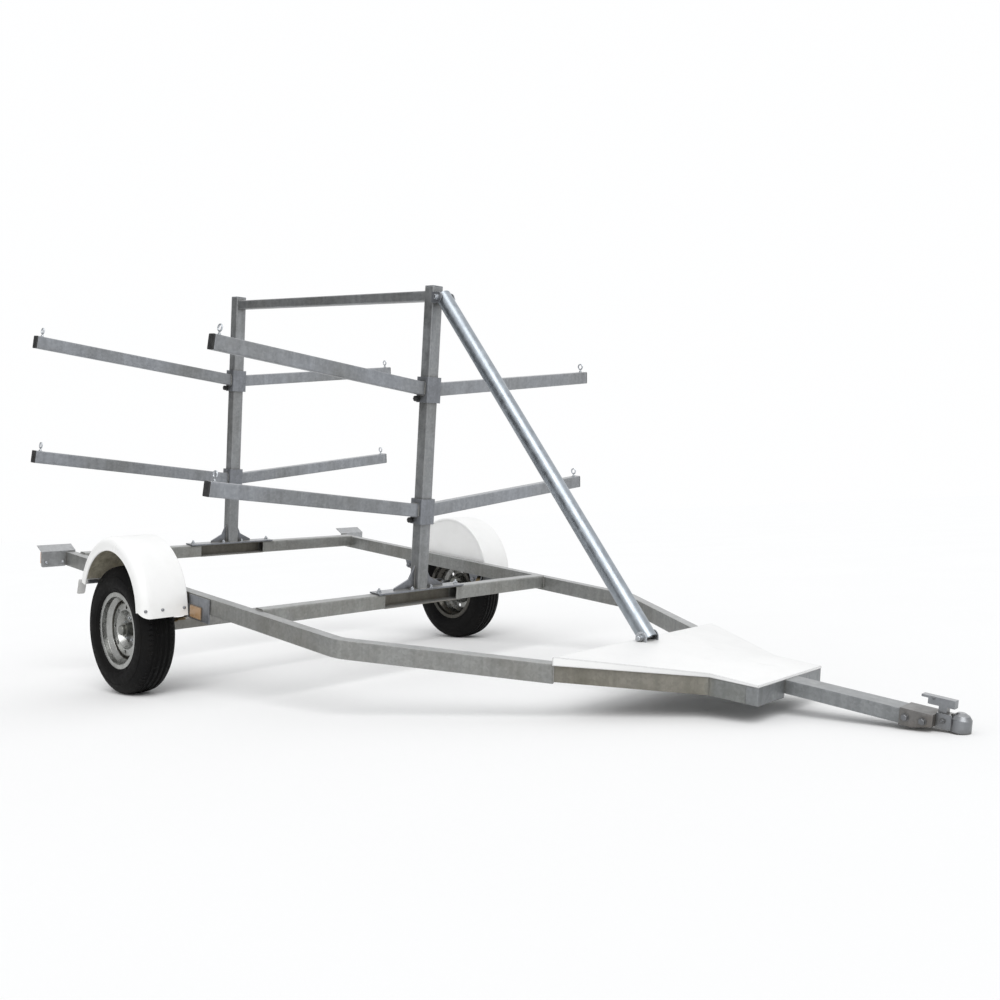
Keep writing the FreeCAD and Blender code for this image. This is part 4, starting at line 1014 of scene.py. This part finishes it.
grain = cloud(floor_white, coordinates(floor_white), scale=0.7, detail=3.0, rough=0.5)
pale = blended(floor_white, ranged(floor_white, grain, (0.3, 0.7)), (0.985, 0.985, 0.985),
               (0.975, 0.975, 0.975))
floor_bounce = (0.78, 0.78, 0.77)
painted = node(floor_white, "ShaderNodeBsdfDiffuse", {
    "Color": blended(floor_white, seen_directly(floor_white), floor_bounce, pale)})
node(floor_white, "ShaderNodeOutputMaterial", {"Surface": painted.outputs["BSDF"]})


def studio_sheet(name, material, steps, size, placed):
    bm = bmesh.new()
    bmesh.ops.create_grid(bm, x_segments=steps, y_segments=steps, size=size, matrix=placed)
    mesh = bpy.data.meshes.new(name)
    bm.to_mesh(mesh)
    bm.free()
    mesh.materials.append(material)
    sheet = bpy.data.objects.new(name, mesh)
    bpy.context.scene.collection.objects.link(sheet)
    return sheet


studio_sheet("studio_floor", floor_white, 4, 90.0, Matrix())

screen_black = bpy.data.materials.new("screen_black")
screen_black.use_nodes = True
screen_skin = screen_black.node_tree.nodes["Principled BSDF"]
feed(screen_black, screen_skin.inputs["Base Color"], (0.03, 0.03, 0.03))
feed(screen_black, screen_skin.inputs["Roughness"], 0.9)
screen_stand = Matrix.Translation((-5.5, -6.5, 3.6))
screen_turn = Matrix.Rotation(math.radians(-40.0), 4, "Z") @ Matrix.Rotation(math.pi / 2, 4, "X")
screen_size = Matrix.Diagonal((13.0, 6.0, 1.0, 1.0))
dark_screen = studio_sheet("dark_screen", screen_black, 2, 0.5,
                           screen_stand @ screen_turn @ screen_size)
dark_screen.visible_camera = False
dark_screen.visible_shadow = False
dark_screen.visible_diffuse = False

room = bpy.data.worlds.new("white_room")
room.use_nodes = True
room.node_tree.nodes.clear()
wall = blended(room, seen_directly(room), (0.655, 0.66, 0.665), (0.995, 0.997, 1.0))
surround = node(room, "ShaderNodeBackground", {"Color": wall, "Strength": 1.0})
node(room, "ShaderNodeOutputWorld", {"Surface": surround.outputs["Background"]})
bpy.context.scene.world = room

lamp = bpy.data.lights.new("high_soft_lamp", "SUN")
lamp.energy = 1.5
lamp.angle = math.radians(45.0)
lamp_from = Vector((0.52, -0.42, 0.74))
high_soft_lamp = bpy.data.objects.new("high_soft_lamp", lamp)
high_soft_lamp.rotation_euler = lamp_from.to_track_quat("Z", "Y").to_euler()
bpy.context.scene.collection.objects.link(high_soft_lamp)

# The camera stands ahead of the trailer and to its right, a little above the rails, and looks
# back over the coupler and the deck.
lens = bpy.data.cameras.new("front_right_view")
lens.sensor_width = 36.0
lens.lens = 36.42
lens.clip_end = 400.0
camera = bpy.data.objects.new("front_right_view", lens)
to_right = Vector((0.72385, 0.68828, -0.04799))
upward = Vector((0.04116, 0.02635, 0.99880))
turned = Matrix((to_right, upward, to_right.cross(upward))).transposed().to_4x4()
camera_stand = axle_centre + Vector((4.63535, -3.36730, 0.48670))
camera.matrix_world = Matrix.Translation(camera_stand) @ turned
bpy.context.scene.collection.objects.link(camera)
bpy.context.scene.camera = camera
bpy.context.scene.view_settings.view_transform = "Standard"
